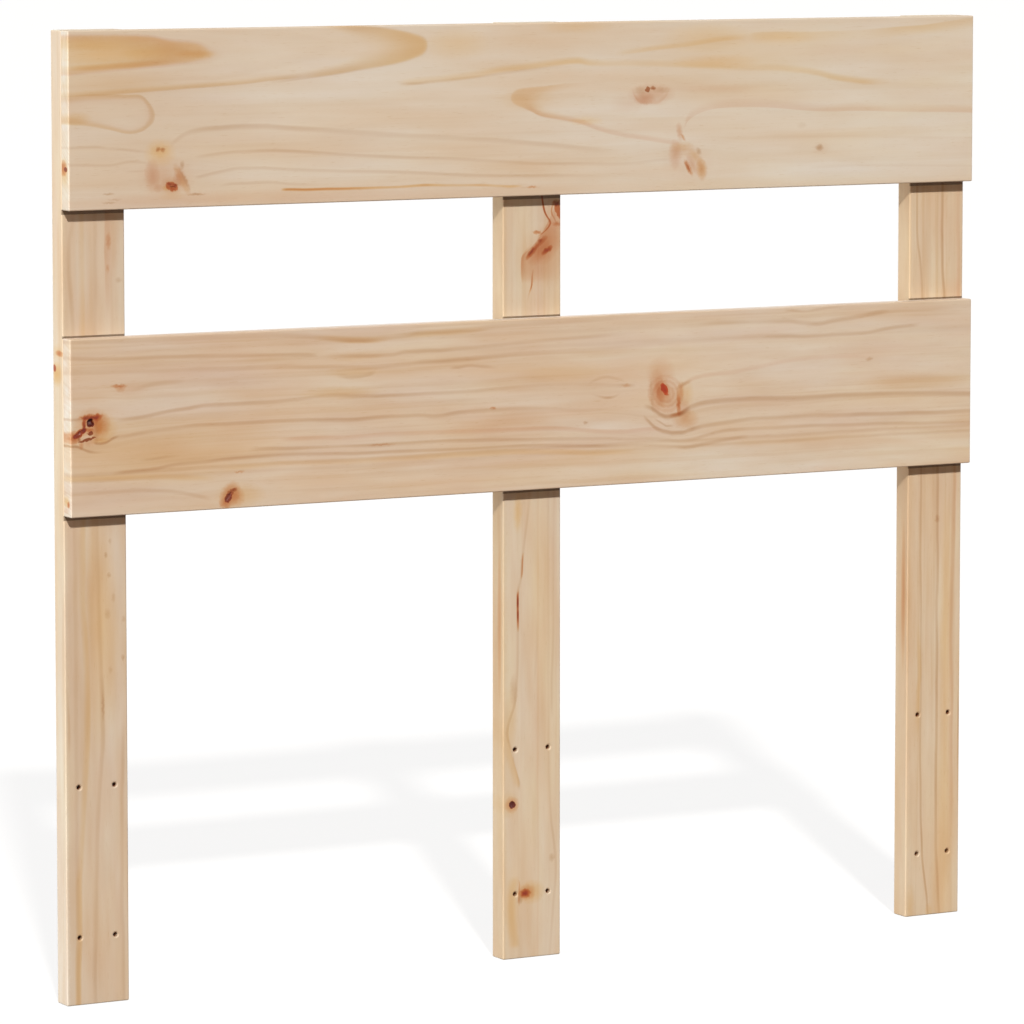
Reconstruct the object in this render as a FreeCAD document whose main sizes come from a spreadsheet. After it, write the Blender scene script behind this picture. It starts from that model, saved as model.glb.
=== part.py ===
"""Pine headboard: three flat posts carry two wide horizontal planks, held by screws driven from behind.

Frame: +Z up, the planks look along -Y, and the origin is on the floor below the middle of the headboard.
All lengths are millimetres and all angles degrees.
"""

import FreeCAD
import Part
import Sketcher

import os

SIZES = (
    # The posts: upright boards that stand on the floor behind the planks
    ("post_height", 1000.0),
    ("post_width", 70.0),
    ("post_thickness", 24.0),
    # The planks: wide boards across the front of the posts, the top one level with the post tops
    ("plank_length", 1090.0),
    ("plank_width", 182.0),
    ("plank_thickness", 18.0),
    ("plank_gap", 130.0),
    # The eased edges of every board
    ("arris_radius", 1.5),
    # The holes low in each post that take the bed's bolts
    ("bed_hole_diameter", 5.0),
    ("bed_hole_margin", 15.0),
    ("bed_hole_height", 70.0),
    ("bed_hole_rise", 156.0),
    # The countersunk wood screw, from its head to its tip
    ("head_diameter", 8.0),
    ("head_rim", 0.3),
    ("shank_diameter", 2.9),
    ("shank_length", 11.0),
    ("thread_diameter", 4.0),
    ("thread_core_diameter", 2.5),
    ("thread_pitch", 1.8),
    ("thread_crest", 0.3),
    ("thread_root", 0.5),
    ("tip_length", 5.0),
    # The cross recess, as shares of the head's diameter and of its height
    ("recess_span_share", 0.55),
    ("recess_slot_share", 0.15),
    ("recess_depth_share", 0.63),
    # The two by two screws at each crossing, in from the post's sides and the plank's edges
    ("screw_side_margin", 15.0),
    ("screw_edge_margin", 31.0),
    # How deep the screws sit, the wood left ahead of their tips, and the room around them
    ("head_sink", 0.2),
    ("plank_cover", 6.8),
    ("post_hole_clearance", 0.25),
    ("pilot_hole_clearance", 0.05),
    ("pilot_hole_overrun", 1.0),
)

ANGLES = (
    ("head_angle", 90.0),
    ("drill_point_angle", 118.0),
    ("recess_taper_angle", 12.0),
    ("full_turn_angle", 360.0),
)

# Places in the headboard's frame, worked out from the sizes

JOINT_PLANE = "(sizes.plank_thickness - sizes.post_thickness) / 2"
HEAD_PLANE = "(sizes.plank_thickness + sizes.post_thickness) / 2 - sizes.head_sink"

POST_CENTRES = {
    "left": "(sizes.post_width - sizes.plank_length) / 2",
    "centre": "0",
    "right": "(sizes.plank_length - sizes.post_width) / 2",
}

PLANK_BOTTOMS = {
    "top": "sizes.post_height - sizes.plank_width",
    "lower": "sizes.post_height - 2 * sizes.plank_width - sizes.plank_gap",
}

FIRST_COLUMN = "sizes.screw_side_margin - sizes.post_width / 2"
FIRST_ROW = "sizes.screw_edge_margin"
COLUMN_SPACING = "sizes.post_width - 2 * sizes.screw_side_margin"
ROW_SPACING = "sizes.plank_width - 2 * sizes.screw_edge_margin"

# Radii and lengths along the screw, worked out from its sizes

HEAD_RADIUS = "sizes.head_diameter / 2"
SHANK_RADIUS = "sizes.shank_diameter / 2"
THREAD_RADIUS = "sizes.thread_diameter / 2"
CORE_RADIUS = "sizes.thread_core_diameter / 2"
HEAD_SLOPE = "tan(sizes.head_angle / 2)"
HEAD_HEIGHT = "(sizes.head_rim + (sizes.head_diameter - sizes.shank_diameter) / 2 / " + HEAD_SLOPE + ")"
SCREW_LENGTH = "(sizes.post_thickness + sizes.plank_thickness - sizes.plank_cover - sizes.head_sink)"
THREAD_TURNS = "floor((" + SCREW_LENGTH + " - sizes.tip_length - sizes.shank_length) / sizes.thread_pitch)"
VALLEY_MOUTH = "(sizes.thread_pitch - sizes.thread_crest)"
VALLEY_FLANK = "(sizes.thread_pitch - sizes.thread_crest - sizes.thread_root) / 2"


def make_sheet(doc):
    """Put the driving sizes and angles in a spreadsheet, one to a row."""
    sheet = doc.addObject("Spreadsheet::Sheet", "sizes")
    for row, (alias, value) in enumerate(SIZES + ANGLES, start=1):
        sheet.set("A%d" % row, alias)
        sheet.set("B%d" % row, repr(value))
        sheet.setAlias("B%d" % row, alias)
    doc.recompute()


def make_body(doc, label, across, depth, height):
    """Add an empty body under its own label, its place bound to three expressions."""
    body = doc.addObject("PartDesign::Body", label)
    body.Label = label
    body.AllowCompound = True
    body.setExpression("Placement.Base.x", across)
    body.setExpression("Placement.Base.y", depth)
    body.setExpression("Placement.Base.z", height)
    return body


def datum(body, role):
    """Return the body's own origin plane or axis that has this role."""
    for feature in body.Origin.OriginFeatures:
        if feature.Role == role:
            return feature
    raise ValueError("no origin feature called " + role)


def make_sketch(body, name, plane, offset="0"):
    """Attach a new sketch to an origin plane of the body, moved along that plane's normal."""
    sketch = body.newObject("Sketcher::SketchObject", name)
    sketch.AttachmentSupport = [(datum(body, plane), "")]
    sketch.MapMode = "FlatFace"
    sketch.setExpression("AttachmentOffset.Base.z", offset)
    return sketch


def bind(sketch, name, constraint, expression):
    """Add a dimension to a sketch under a name, and bind it to an expression."""
    index = sketch.addConstraint(constraint)
    sketch.renameConstraint(index, name)
    sketch.setExpression("Constraints." + name, expression)


def pin(sketch, name, element, point, across, along):
    """Hold one point of a sketch at the coordinates that two expressions give."""
    x = sketch.evalExpression(across)
    y = sketch.evalExpression(along)
    bind(sketch, name + "_across", Sketcher.Constraint("DistanceX", element, point, x), across)
    bind(sketch, name + "_along", Sketcher.Constraint("DistanceY", element, point, y), along)


def add_outline(sketch, corners):
    """Draw a closed outline of straight sides, each corner a pair of expressions for its coordinates."""
    spots = [
        FreeCAD.Vector(sketch.evalExpression(across), sketch.evalExpression(along), 0)
        for across, along in corners
    ]
    for start, end in zip(spots, spots[1:] + spots[:1]):
        sketch.addGeometry(Part.LineSegment(start, end), False)
    for side, (across, along) in enumerate(corners):
        following = (side + 1) % len(corners)
        sketch.addConstraint(Sketcher.Constraint("Coincident", side, 2, following, 1))
        pin(sketch, "corner_%d" % side, side, 1, across, along)


def add_rectangle(sketch, left, right, bottom, top):
    """Draw a rectangle whose four sides stand where the expressions say."""
    add_outline(sketch, ((left, bottom), (right, bottom), (right, top), (left, top)))


def add_circle(sketch, across, along, diameter):
    """Draw a circle, its centre and diameter bound to expressions."""
    centre = FreeCAD.Vector(sketch.evalExpression(across), sketch.evalExpression(along), 0)
    size = sketch.evalExpression(diameter)
    circle = sketch.addGeometry(Part.Circle(centre, FreeCAD.Vector(0, 0, 1), size / 2), False)
    pin(sketch, "centre", circle, 3, across, along)
    bind(sketch, "diameter", Sketcher.Constraint("Diameter", circle, size), diameter)


def saw_board(body, sketch, length, midplane):
    """Extrude a board's section to its length and round all its edges."""
    pad = body.newObject("PartDesign::Pad", "sawn")
    pad.Profile = sketch
    pad.Midplane = midplane
    pad.setExpression("Length", length)
    body.Document.recompute()
    easing = body.newObject("PartDesign::Fillet", "eased")
    easing.Base = (pad, [""])
    easing.UseAllEdges = True
    easing.setExpression("Radius", "sizes.arris_radius")
    body.Document.recompute()


def drill(body, name, sketch, diameter):
    """Start a round hole that runs from a sketched circle towards the body's -Y."""
    hole = body.newObject("PartDesign::Hole", name)
    hole.Profile = sketch
    hole.ThreadType = "None"
    hole.Reversed = True
    hole.setExpression("Diameter", diameter)
    return hole


def repeat_in_grid(body, name, features, across, rise):
    """Repeat features in two columns and two rows, along the body's X and Z."""
    body.Document.recompute()
    grid = body.newObject("PartDesign::LinearPattern", name)
    grid.Originals = features
    grid.Direction = (datum(body, "X_Axis"), [""])
    grid.setExpression("Length", across)
    grid.Occurrences = 2
    grid.Direction2 = (datum(body, "Z_Axis"), [""])
    grid.setExpression("Length2", rise)
    grid.Occurrences2 = 2
    body.Tip = grid
    body.Document.recompute()
    return grid


def make_post(doc, side):
    """Build one post, in a frame at the middle of its front face's lower edge.

    Its low holes take the bed's bolts, and its countersunk holes, seen from behind, take the screws.
    """
    body = make_body(doc, side + "_post", POST_CENTRES[side], JOINT_PLANE, "0")
    section = make_sketch(body, "section", "XY_Plane")
    add_rectangle(section, "-sizes.post_width / 2", "sizes.post_width / 2", "0", "sizes.post_thickness")
    saw_board(body, section, "sizes.post_height", False)

    bed_hole_mark = make_sketch(body, "bed_hole_mark", "XZ_Plane", "-sizes.post_thickness")
    add_circle(
        bed_hole_mark,
        "sizes.bed_hole_margin - sizes.post_width / 2",
        "sizes.bed_hole_height",
        "sizes.bed_hole_diameter",
    )
    bed_hole = drill(body, "bed_hole", bed_hole_mark, "sizes.bed_hole_diameter")
    bed_hole.DepthType = "ThroughAll"
    spacing = "sizes.post_width - 2 * sizes.bed_hole_margin"
    repeat_in_grid(body, "bed_holes", [bed_hole], spacing, "sizes.bed_hole_rise")

    clear_diameter = "sizes.thread_diameter + 2 * sizes.post_hole_clearance"
    sink_depth = "(sizes.head_rim + sizes.head_sink)"
    sink_diameter = "sizes.head_diameter + 2 * " + sink_depth + " * " + HEAD_SLOPE
    for level, bottom in PLANK_BOTTOMS.items():
        mark = make_sketch(body, level + "_screw_mark", "XZ_Plane", "-sizes.post_thickness")
        add_circle(mark, FIRST_COLUMN, bottom + " + " + FIRST_ROW, clear_diameter)
        screw_hole = drill(body, level + "_screw_hole", mark, clear_diameter)
        screw_hole.DepthType = "ThroughAll"
        screw_hole.HoleCutType = "Countersink"
        screw_hole.HoleCutCustomValues = True
        screw_hole.setExpression("HoleCutCountersinkAngle", "sizes.head_angle")
        screw_hole.setExpression("HoleCutDiameter", sink_diameter)
        repeat_in_grid(body, level + "_screw_holes", [screw_hole], COLUMN_SPACING, ROW_SPACING)
    return body


def make_plank(doc, level):
    """Build one plank, in a frame at the middle of its back face's lower edge.

    Its pilot holes, blind ones from behind, take the ends of the screws.
    """
    body = make_body(doc, level + "_plank", "0", JOINT_PLANE, PLANK_BOTTOMS[level])
    section = make_sketch(body, "section", "YZ_Plane")
    add_rectangle(section, "-sizes.plank_thickness", "0", "0", "sizes.plank_width")
    saw_board(body, section, "sizes.plank_length", True)

    pilot_diameter = "sizes.thread_diameter + 2 * sizes.pilot_hole_clearance"
    for side, centre in POST_CENTRES.items():
        mark = make_sketch(body, side + "_pilot_mark", "XZ_Plane")
        add_circle(mark, centre + " + " + FIRST_COLUMN, FIRST_ROW, pilot_diameter)
        pilot = drill(body, side + "_pilot", mark, pilot_diameter)
        pilot.DepthType = "Dimension"
        pilot.setExpression("Depth", "sizes.plank_thickness - sizes.plank_cover + sizes.pilot_hole_overrun")
        pilot.DrillPoint = "Angled"
        pilot.setExpression("DrillPointAngle", "sizes.drill_point_angle")
        repeat_in_grid(body, side + "_pilots", [pilot], COLUMN_SPACING, ROW_SPACING)
    return body


def turn_screw_blank(body):
    """Revolve the screw's outline about its axis: head, plain shank, full thread diameter and tip."""
    outline = make_sketch(body, "outline", "XY_Plane")
    add_outline(
        outline,
        (
            ("0", "0"),
            ("0", "-" + SCREW_LENGTH),
            (THREAD_RADIUS, "sizes.tip_length - " + SCREW_LENGTH),
            (THREAD_RADIUS, "-sizes.shank_length"),
            (SHANK_RADIUS, "-sizes.shank_length"),
            (SHANK_RADIUS, "-" + HEAD_HEIGHT),
            (HEAD_RADIUS, "-sizes.head_rim"),
            (HEAD_RADIUS, "0"),
        ),
    )
    blank = body.newObject("PartDesign::Revolution", "blank")
    blank.Profile = outline
    blank.ReferenceAxis = (outline, ["V_Axis"])
    blank.setExpression("Angle", "sizes.full_turn_angle")
    body.Document.recompute()


def roll_thread(body):
    """Cut the thread's valleys as rings, one a pitch apart, down to the core."""
    valley_outline = make_sketch(body, "valley_outline", "XY_Plane")
    add_outline(
        valley_outline,
        (
            (THREAD_RADIUS, "-sizes.shank_length"),
            (THREAD_RADIUS, "-sizes.shank_length - " + VALLEY_MOUTH),
            (CORE_RADIUS, "-sizes.shank_length - " + VALLEY_MOUTH + " + " + VALLEY_FLANK),
            (CORE_RADIUS, "-sizes.shank_length - " + VALLEY_FLANK),
        ),
    )
    valley = body.newObject("PartDesign::Groove", "valley")
    valley.Profile = valley_outline
    valley.ReferenceAxis = (valley_outline, ["V_Axis"])
    valley.setExpression("Angle", "sizes.full_turn_angle")
    body.Document.recompute()
    thread = body.newObject("PartDesign::LinearPattern", "thread")
    thread.Originals = [valley]
    thread.Direction = (datum(body, "Y_Axis"), [""])
    thread.Reversed = True
    thread.Mode = "Spacing"
    thread.setExpression("Offset", "sizes.thread_pitch")
    thread.setExpression("Occurrences", THREAD_TURNS)
    body.Tip = thread
    body.Document.recompute()


def press_recess(body):
    """Sink the cross recess into the head, one tapered slot each way."""
    half_span = HEAD_RADIUS + " * sizes.recess_span_share"
    half_slot = HEAD_RADIUS + " * sizes.recess_slot_share"
    span = ("-" + half_span, half_span)
    slot = ("-" + half_slot, half_slot)
    for name, across, along in (("level_slot", span, slot), ("upright_slot", slot, span)):
        outline = make_sketch(body, name + "_outline", "XZ_Plane")
        add_rectangle(outline, *across, *along)
        pocket = body.newObject("PartDesign::Pocket", name)
        pocket.Profile = outline
        pocket.Reversed = True
        pocket.setExpression("TaperAngle", "-sizes.recess_taper_angle")
        pocket.setExpression("Length", HEAD_HEIGHT + " * sizes.recess_depth_share")
        body.Document.recompute()


def make_screws(doc, level, side):
    """Build the four screws of one crossing, in a frame at the first one's head, pointing along -Y."""
    label = "%s_%s_screws" % (level, side)
    across = POST_CENTRES[side] + " + " + FIRST_COLUMN
    height = PLANK_BOTTOMS[level] + " + " + FIRST_ROW
    body = make_body(doc, label, across, HEAD_PLANE, height)
    turn_screw_blank(body)
    roll_thread(body)
    press_recess(body)
    group = repeat_in_grid(body, "group", [], COLUMN_SPACING, ROW_SPACING)
    group.TransformMode = "Whole shape"
    return body


def check(doc, bodies):
    """Stop if any object failed, or if any piece is missing or not a sound solid."""
    for item in doc.Objects:
        if "Invalid" in item.State or "Error" in item.State:
            raise RuntimeError("%s failed: %s" % (item.Name, item.State))
    for body in bodies:
        if body.Shape.isNull() or not body.Shape.isValid() or not body.Shape.Solids:
            raise RuntimeError(body.Label + " is not a sound solid")


def main():
    """Build every piece of the headboard and write each to its own file."""
    doc = FreeCAD.newDocument("headboard")
    make_sheet(doc)
    bodies = [make_post(doc, side) for side in POST_CENTRES]
    bodies += [make_plank(doc, level) for level in PLANK_BOTTOMS]
    bodies += [make_screws(doc, level, side) for level in PLANK_BOTTOMS for side in POST_CENTRES]
    doc.recompute()
    check(doc, bodies)
    os.makedirs("parts", exist_ok=True)
    for body in bodies:
        body.Shape.exportStep("parts/%s.step" % body.Label)
        print("%-22s %2d solids %12.1f mm3" % (body.Label, len(body.Shape.Solids), body.Shape.Volume))


main()
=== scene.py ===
"""Pine headboard: solid pine posts and planks and zinc plated wood screws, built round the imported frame."""

import logging
import math
from collections.abc import Callable
from dataclasses import dataclass, field, replace
from enum import Enum

import bpy
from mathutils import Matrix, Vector

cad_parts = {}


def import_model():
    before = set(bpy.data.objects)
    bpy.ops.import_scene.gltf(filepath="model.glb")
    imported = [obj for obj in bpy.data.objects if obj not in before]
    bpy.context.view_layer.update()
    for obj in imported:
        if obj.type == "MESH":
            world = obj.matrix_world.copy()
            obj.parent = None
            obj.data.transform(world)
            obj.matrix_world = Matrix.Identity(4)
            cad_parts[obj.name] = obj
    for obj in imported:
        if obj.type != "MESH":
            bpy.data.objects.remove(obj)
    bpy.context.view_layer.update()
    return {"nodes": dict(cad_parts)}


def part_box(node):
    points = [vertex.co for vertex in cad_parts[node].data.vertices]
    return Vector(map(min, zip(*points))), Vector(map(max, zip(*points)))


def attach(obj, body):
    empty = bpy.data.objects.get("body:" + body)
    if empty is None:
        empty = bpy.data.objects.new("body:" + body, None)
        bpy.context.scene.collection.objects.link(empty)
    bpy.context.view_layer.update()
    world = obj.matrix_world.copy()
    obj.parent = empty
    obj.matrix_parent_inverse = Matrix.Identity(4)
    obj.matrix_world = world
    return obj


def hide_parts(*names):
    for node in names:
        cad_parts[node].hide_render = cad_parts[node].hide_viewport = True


MM = 0.001
LOG = logging.getLogger("headboard")
PLANKS = ("top_plank", "lower_plank")
POSTS = ("left_post", "centre_post", "right_post")
WHITE = (1.0, 1.0, 1.0, 1.0)
# A face looks along an axis when this much of its normal does.
FACING = 0.9

MATH = "ShaderNodeMath"
VECTOR_MATH = "ShaderNodeVectorMath"
CURVE = "ShaderNodeFloatCurve"
MAPPING = "ShaderNodeMapping"
NOISE = "ShaderNodeTexNoise"
SPLIT = "ShaderNodeSeparateXYZ"
COMBINE = "ShaderNodeCombineXYZ"
MAP_RANGE = "ShaderNodeMapRange"
MIX = "ShaderNodeMix"
BUMP = "ShaderNodeBump"
SHADER = "ShaderNodeBsdfPrincipled"
OUTPUT = "ShaderNodeOutputMaterial"
COORDINATES = "ShaderNodeTexCoord"

# What a curve node draws, and what an input of a node takes.
Course = tuple[tuple[float, ...], ...]
Wire = bpy.types.NodeSocket | float


def linear(hex_colour: str) -> tuple[float, float, float, float]:
    """Turns an sRGB hex colour to linear red, green, blue and alpha.

    Args:
        hex_colour: six hex digits after a hash sign.

    Returns:
        The colour as the shaders take it.
    """
    parts = [int(hex_colour[i : i + 2], 16) / 255 for i in (1, 3, 5)]
    low = [p / 12.92 if p <= 0.04045 else ((p + 0.055) / 1.055) ** 2.4 for p in parts]
    return (low[0], low[1], low[2], 1.0)


def add_node(
    tree: bpy.types.NodeTree,
    kind: str,
    settings: dict[str, object] | None = None,
    inputs: dict[int | str, object] | None = None,
) -> bpy.types.Node:
    """Adds one node with its settings and links.

    Args:
        tree: the material's node tree.
        kind: type name of the node.
        settings: the node's attributes. The entry "points" draws the curve of a curve node.
        inputs: input sockets, each with a value or with the node or socket that feeds it.

    Returns:
        The new node.
    """
    node = tree.nodes.new(kind)
    for name, value in (settings or {}).items():
        if name == "points":
            node.mapping.use_clip = False
            node.mapping.extend = "HORIZONTAL"
            curve = node.mapping.curves[0]
            while len(curve.points) < len(value):
                curve.points.new(0, 0)
            for point, place in zip(curve.points, value):
                point.location = place
                point.handle_type = "AUTO_CLAMPED"
            node.mapping.update()
        else:
            setattr(node, name, value)
    for socket, value in (inputs or {}).items():
        if isinstance(value, bpy.types.Node):
            value = value.outputs[0]
        if isinstance(value, bpy.types.NodeSocket):
            tree.links.new(value, node.inputs[socket])
        else:
            node.inputs[socket].default_value = value
    return node


class Run(Enum):
    """Which way the grain runs: the axes along, across and into the board."""

    LEVEL = (0, 2, 1)
    UPRIGHT = (2, 0, 1)


class Tone(Enum):
    """The light that a mark takes away at full strength, as optical density of red, green and blue."""

    # The wood's own early and late wood.
    STRAW = (0.10, 0.18, 0.30)
    TAN = (0.15, 0.25, 0.35)
    HONEY = (0.00, 0.10, 0.30)
    # Resin in the late wood of the arches, and the dyed wood round a knot.
    ORANGE = (0.10, 0.35, 0.84)
    ROSE = (0.12, 0.32, 0.45)
    # Live knots and their branches.
    RED = (0.44, 1.35, 2.15)
    CHERRY = (0.20, 1.20, 1.80)
    # Bark and dead knots, and the painted shade inside the bolt holes.
    UMBER = (1.30, 2.60, 3.70)
    # Painted shade in the seam where two boards meet.
    SEAM_SHADE = (1.10, 1.20, 1.30)


class Edge(Enum):
    """How a mark fades from its middle at 0 to its rim at 1, as points of a curve."""

    CRISP = ((0.0, 1.0), (0.75, 0.95), (1.1, 0.0))
    SOFT = ((0.0, 1.0), (0.5, 0.7), (1.3, 0.0))
    RIPPLE = (
        (0.0, 0.0), (0.35, 0.1), (0.5, 0.9), (0.62, 0.1), (0.76, 0.8), (0.88, 0.1), (1.0, 0.6), (1.15, 0.0),
    )


@dataclass(frozen=True)
class GrainLine:
    """One late wood line. Its course is (along, across, strength), and it fades below and above. In mm."""

    tone: Tone
    course: Course
    below: float = 2.2
    above: float = 2.2


@dataclass(frozen=True)
class Ring:
    """One ring of a cathedral: its radius, how far it fades each way, and its (along, strength). In mm."""

    tone: Tone
    radius: float
    inward: float
    outward: float
    strengths: Course


@dataclass(frozen=True)
class Cathedral:
    """Rings that the face cuts to a pointed arch. The pith's course is (along, across, depth) in mm."""

    pith: Course
    rings: tuple[Ring, ...]


@dataclass(frozen=True)
class Mark:
    """An oval mark, such as a knot, its halo or a resin streak, as (along, across) and half sizes in mm."""

    tone: Tone
    place: tuple[float, float]
    reach: tuple[float, float]
    strength: float
    lean: float = 0.0
    edge: Edge = Edge.SOFT
    depth: tuple[float, float] = (0.0, 1e5)


@dataclass(frozen=True)
class Drift:
    """A slow change of colour: patches to a millimetre along, across and inwards, and its strength."""

    tone: Tone
    scale: tuple[float, float, float]
    strength: float
    detail: float = 2.0


@dataclass(frozen=True)
class Swirl:
    """A place where the grain parts to pass a knot: its place and half sizes in mm, and how far it parts."""

    place: tuple[float, float]
    reach: tuple[float, float]
    share: float


@dataclass(frozen=True)
class Seam:
    """A thin dark line of painted shade across the front face, where another board meets it: place and half
    width in mm.
    """

    place: float
    reach: float


@dataclass(frozen=True)
class PlanedPine:
    """Scots pine, planed, sanded and unfinished: pale cream wood, tan late wood lines and a dull sheen."""

    name: str
    ground: str
    pith: tuple[float, float]
    seed: float
    lines: tuple[GrainLine, ...] = ()
    cathedrals: tuple[Cathedral, ...] = ()
    marks: tuple[Mark, ...] = ()
    swirls: tuple[Swirl, ...] = ()
    seams: tuple[Seam, ...] = ()
    line_strength: float = 1.0
    line_width: float = 1.0
    band_strength: float = 0.5
    fibre_strength: float = 0.3
    end_strength: float = 1.6
    # Painted light: how much paler the sawn ends are painted.
    end_painted_light: float = 0.45
    end_fade: tuple[float, float] = (1.3, 0.3)
    wood_roughness: float = 0.62
    knot_roughness: float = 0.42
    knot_density: float = 1.5
    ridge_height: float = 0.1
    ridge_strength: float = 0.35
    refraction: float = 1.5
    drifts: tuple[Drift, ...] = (
        Drift(Tone.HONEY, (0.005, 0.035, 0.035), 1.6),
        Drift(Tone.ROSE, (0.008, 0.045, 0.045), 1.2),
        Drift(Tone.STRAW, (0.013, 0.085, 0.085), 1.1),
    )

    def make(self, run: Run, origin: Vector, length: float, middle: float) -> bpy.types.Material:
        """Makes the board's material.

        Args:
            run: which way the grain runs.
            origin: the point of the front face that the grain is measured from, in metres.
            length: length of the board along the grain in mm.
            middle: the board's middle along the grain in mm.

        Returns:
            The material.
        """
        material = bpy.data.materials.new(self.name)
        material.use_nodes = True
        tree = material.node_tree
        tree.nodes.clear()
        grain = GrainPattern(tree, run, origin, self)
        grain.draw_fine_grain(self.end_share(grain, length, middle))
        colour = grain.colour()
        # Dry planed softwood is dull, and the resin in its knots makes them a little glossier.
        gloss = add_node(
            tree,
            MAP_RANGE,
            inputs={
                0: grain.totals[Tone.RED],
                1: 0.0,
                2: self.knot_density,
                3: self.wood_roughness,
                4: self.knot_roughness,
            },
        )
        # Sanded fibres leave ridges of a few hundredths of a millimetre along the grain.
        relief = add_node(
            tree,
            BUMP,
            inputs={
                "Strength": self.ridge_strength,
                "Distance": self.ridge_height * MM,
                "Height": grain.fibres,
            },
        )
        shader = add_node(
            tree,
            SHADER,
            inputs={
                "Base Color": colour,
                "Roughness": gloss,
                "Normal": relief,
                "IOR": self.refraction,
                "Metallic": 0.0,
            },
        )
        add_node(tree, OUTPUT, inputs={0: shader})
        return material

    def end_share(self, grain: "GrainPattern", length: float, middle: float) -> bpy.types.Node:
        """Finds the sawn ends of a board.

        Args:
            grain: the board's grain.
            length: length of the board in mm.
            middle: the board's middle along the grain in mm.

        Returns:
            A node that gives 1 on the end faces and 0 elsewhere.
        """
        from_middle = add_node(grain.tree, MATH, {"operation": "SUBTRACT"}, {0: grain.along, 1: middle})
        distance = add_node(grain.tree, MATH, {"operation": "ABSOLUTE"}, {0: from_middle})
        start, full = (length / 2 - fade for fade in self.end_fade)
        return add_node(grain.tree, MAP_RANGE, inputs={0: distance, 1: start, 2: full, 3: 0.0, 4: 1.0})


class GrainPattern:
    """The growth pattern of one board in mm along, across and into it, and the light that it takes away."""

    # Each scale is features to a millimetre along, across and into the board, and each reach is in mm.
    wander_scale: tuple[float, float, float] = (0.012, 0.05, 0.05)
    wander_reach: float = 2.6
    lump_scale: tuple[float, float, float] = (0.28, 0.28, 0.05)
    lump_reach: float = 3.6
    fibre_scale: tuple[float, float, float] = (0.02, 1.4, 1.4)
    # These scales are features to a millimetre along the board and out from the pith.
    band_scale: tuple[float, float, float] = (0.0022, 0.13, 1.0)
    fine_scale: tuple[float, float, float] = (0.004, 0.55, 1.0)
    fine_strength: float = 0.32
    end_ring_scale: tuple[float, float, float] = (0.0, 0.9, 1.0)
    # How much late wood there is, from the level of a growth ring's variation.
    late_wood: Course = ((-0.2, 0.0), (0.0, 0.12), (0.12, 0.75), (0.18, 1.0), (0.3, 0.4))
    canal_scale: tuple[float, float, float] = (0.09, 1.1, 1.1)
    canal_share: Course = ((0.16, 0.0), (0.26, 1.0))
    canal_strength: float = 0.6
    # How far the grain parts, from a swirl's middle at 0 to its rim at 1.
    swirl_fade: Course = ((0.0, 1.0), (0.5, 0.6), (1.4, 0.0))
    # The painted shade in a seam fades between these depths in mm.
    seam_depths: tuple[float, float] = (0.3, 1.5)

    def __init__(self, tree: bpy.types.NodeTree, run: Run, origin: Vector, pine: PlanedPine) -> None:
        """Lays out the board's own coordinates and draws all its features.

        Args:
            tree: the material's node tree.
            run: which way the grain runs.
            origin: the point that the grain is measured from, in metres.
            pine: the finish with the board's features.
        """
        self.tree = tree
        self.pine = pine
        self.totals: dict[Tone, Wire] = {tone: 0.0 for tone in Tone}
        where = add_node(tree, COORDINATES)
        flat = add_node(
            tree,
            VECTOR_MATH,
            {"operation": "MULTIPLY_ADD"},
            {0: where.outputs["Object"], 1: (1 / MM,) * 3, 2: tuple(-c / MM for c in origin)},
        )
        axes = add_node(tree, SPLIT, inputs={0: flat})
        self.along, across, self.depth = (axes.outputs[i] for i in run.value)
        # The grain wanders by about a millimetre over a hand's breadth.
        straight = add_node(tree, COMBINE, inputs={0: self.along, 2: self.depth}).outputs[0]
        wander = self.variation(self.wander_scale, 2.0, straight)
        self.across = add_node(
            tree, MATH, {"operation": "MULTIPLY_ADD"}, {0: wander, 1: self.wander_reach, 2: across}
        ).outputs[0]
        self.spot = add_node(
            tree, COMBINE, inputs={0: self.along, 1: self.across, 2: self.depth}
        ).outputs[0]
        self.ragged = self.ragged_spot()
        for line in pine.lines:
            self.draw_line(line)
        for cathedral in pine.cathedrals:
            self.draw_cathedral(cathedral)
        for mark in pine.marks:
            self.draw_mark(mark)
        for seam in pine.seams:
            self.draw_seam(seam)
        self.parted = self.across
        for swirl in pine.swirls:
            self.part_grain(swirl)
        self.fibres = self.fibre_noise()

    def variation(
        self,
        scale: tuple[float, float, float],
        detail: float,
        spot: bpy.types.NodeSocket,
        rough: float = 0.5,
    ) -> bpy.types.NodeSocket:
        """Lays out a random variation with its own scale along, across and into the board.

        Args:
            scale: how many features there are to a millimetre, in each direction.
            detail: how many finer layers it has.
            spot: the place that it reads.
            rough: how strong each finer layer is.

        Returns:
            The variation, from -0.5 to 0.5.
        """
        placed = add_node(
            self.tree,
            MAPPING,
            inputs={0: spot, "Location": (self.pine.seed,) * 3, "Scale": scale},
        )
        cloud = add_node(
            self.tree, NOISE, inputs={"Vector": placed, "Scale": 1.0, "Detail": detail, "Roughness": rough}
        )
        return add_node(self.tree, MATH, {"operation": "SUBTRACT"}, {0: cloud, 1: 0.5}).outputs[0]

    def ragged_spot(self) -> bpy.types.NodeSocket:
        """Shifts the place by up to a millimetre every few millimetres, so that knots get ragged outlines.

        Returns:
            The shifted place.
        """
        reach = self.lump_reach
        placed = add_node(self.tree, MAPPING, inputs={0: self.spot, "Scale": self.lump_scale})
        lumps = add_node(self.tree, NOISE, inputs={"Vector": placed, "Scale": 1.0, "Detail": 2.0})
        back = add_node(
            self.tree, VECTOR_MATH, {"operation": "ADD"}, {0: self.spot, 1: (-reach / 2, -reach / 2, 0.0)}
        )
        return add_node(
            self.tree,
            VECTOR_MATH,
            {"operation": "MULTIPLY_ADD"},
            {0: lumps.outputs["Color"], 1: (reach, reach, 0.0), 2: back},
        ).outputs[0]

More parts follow.
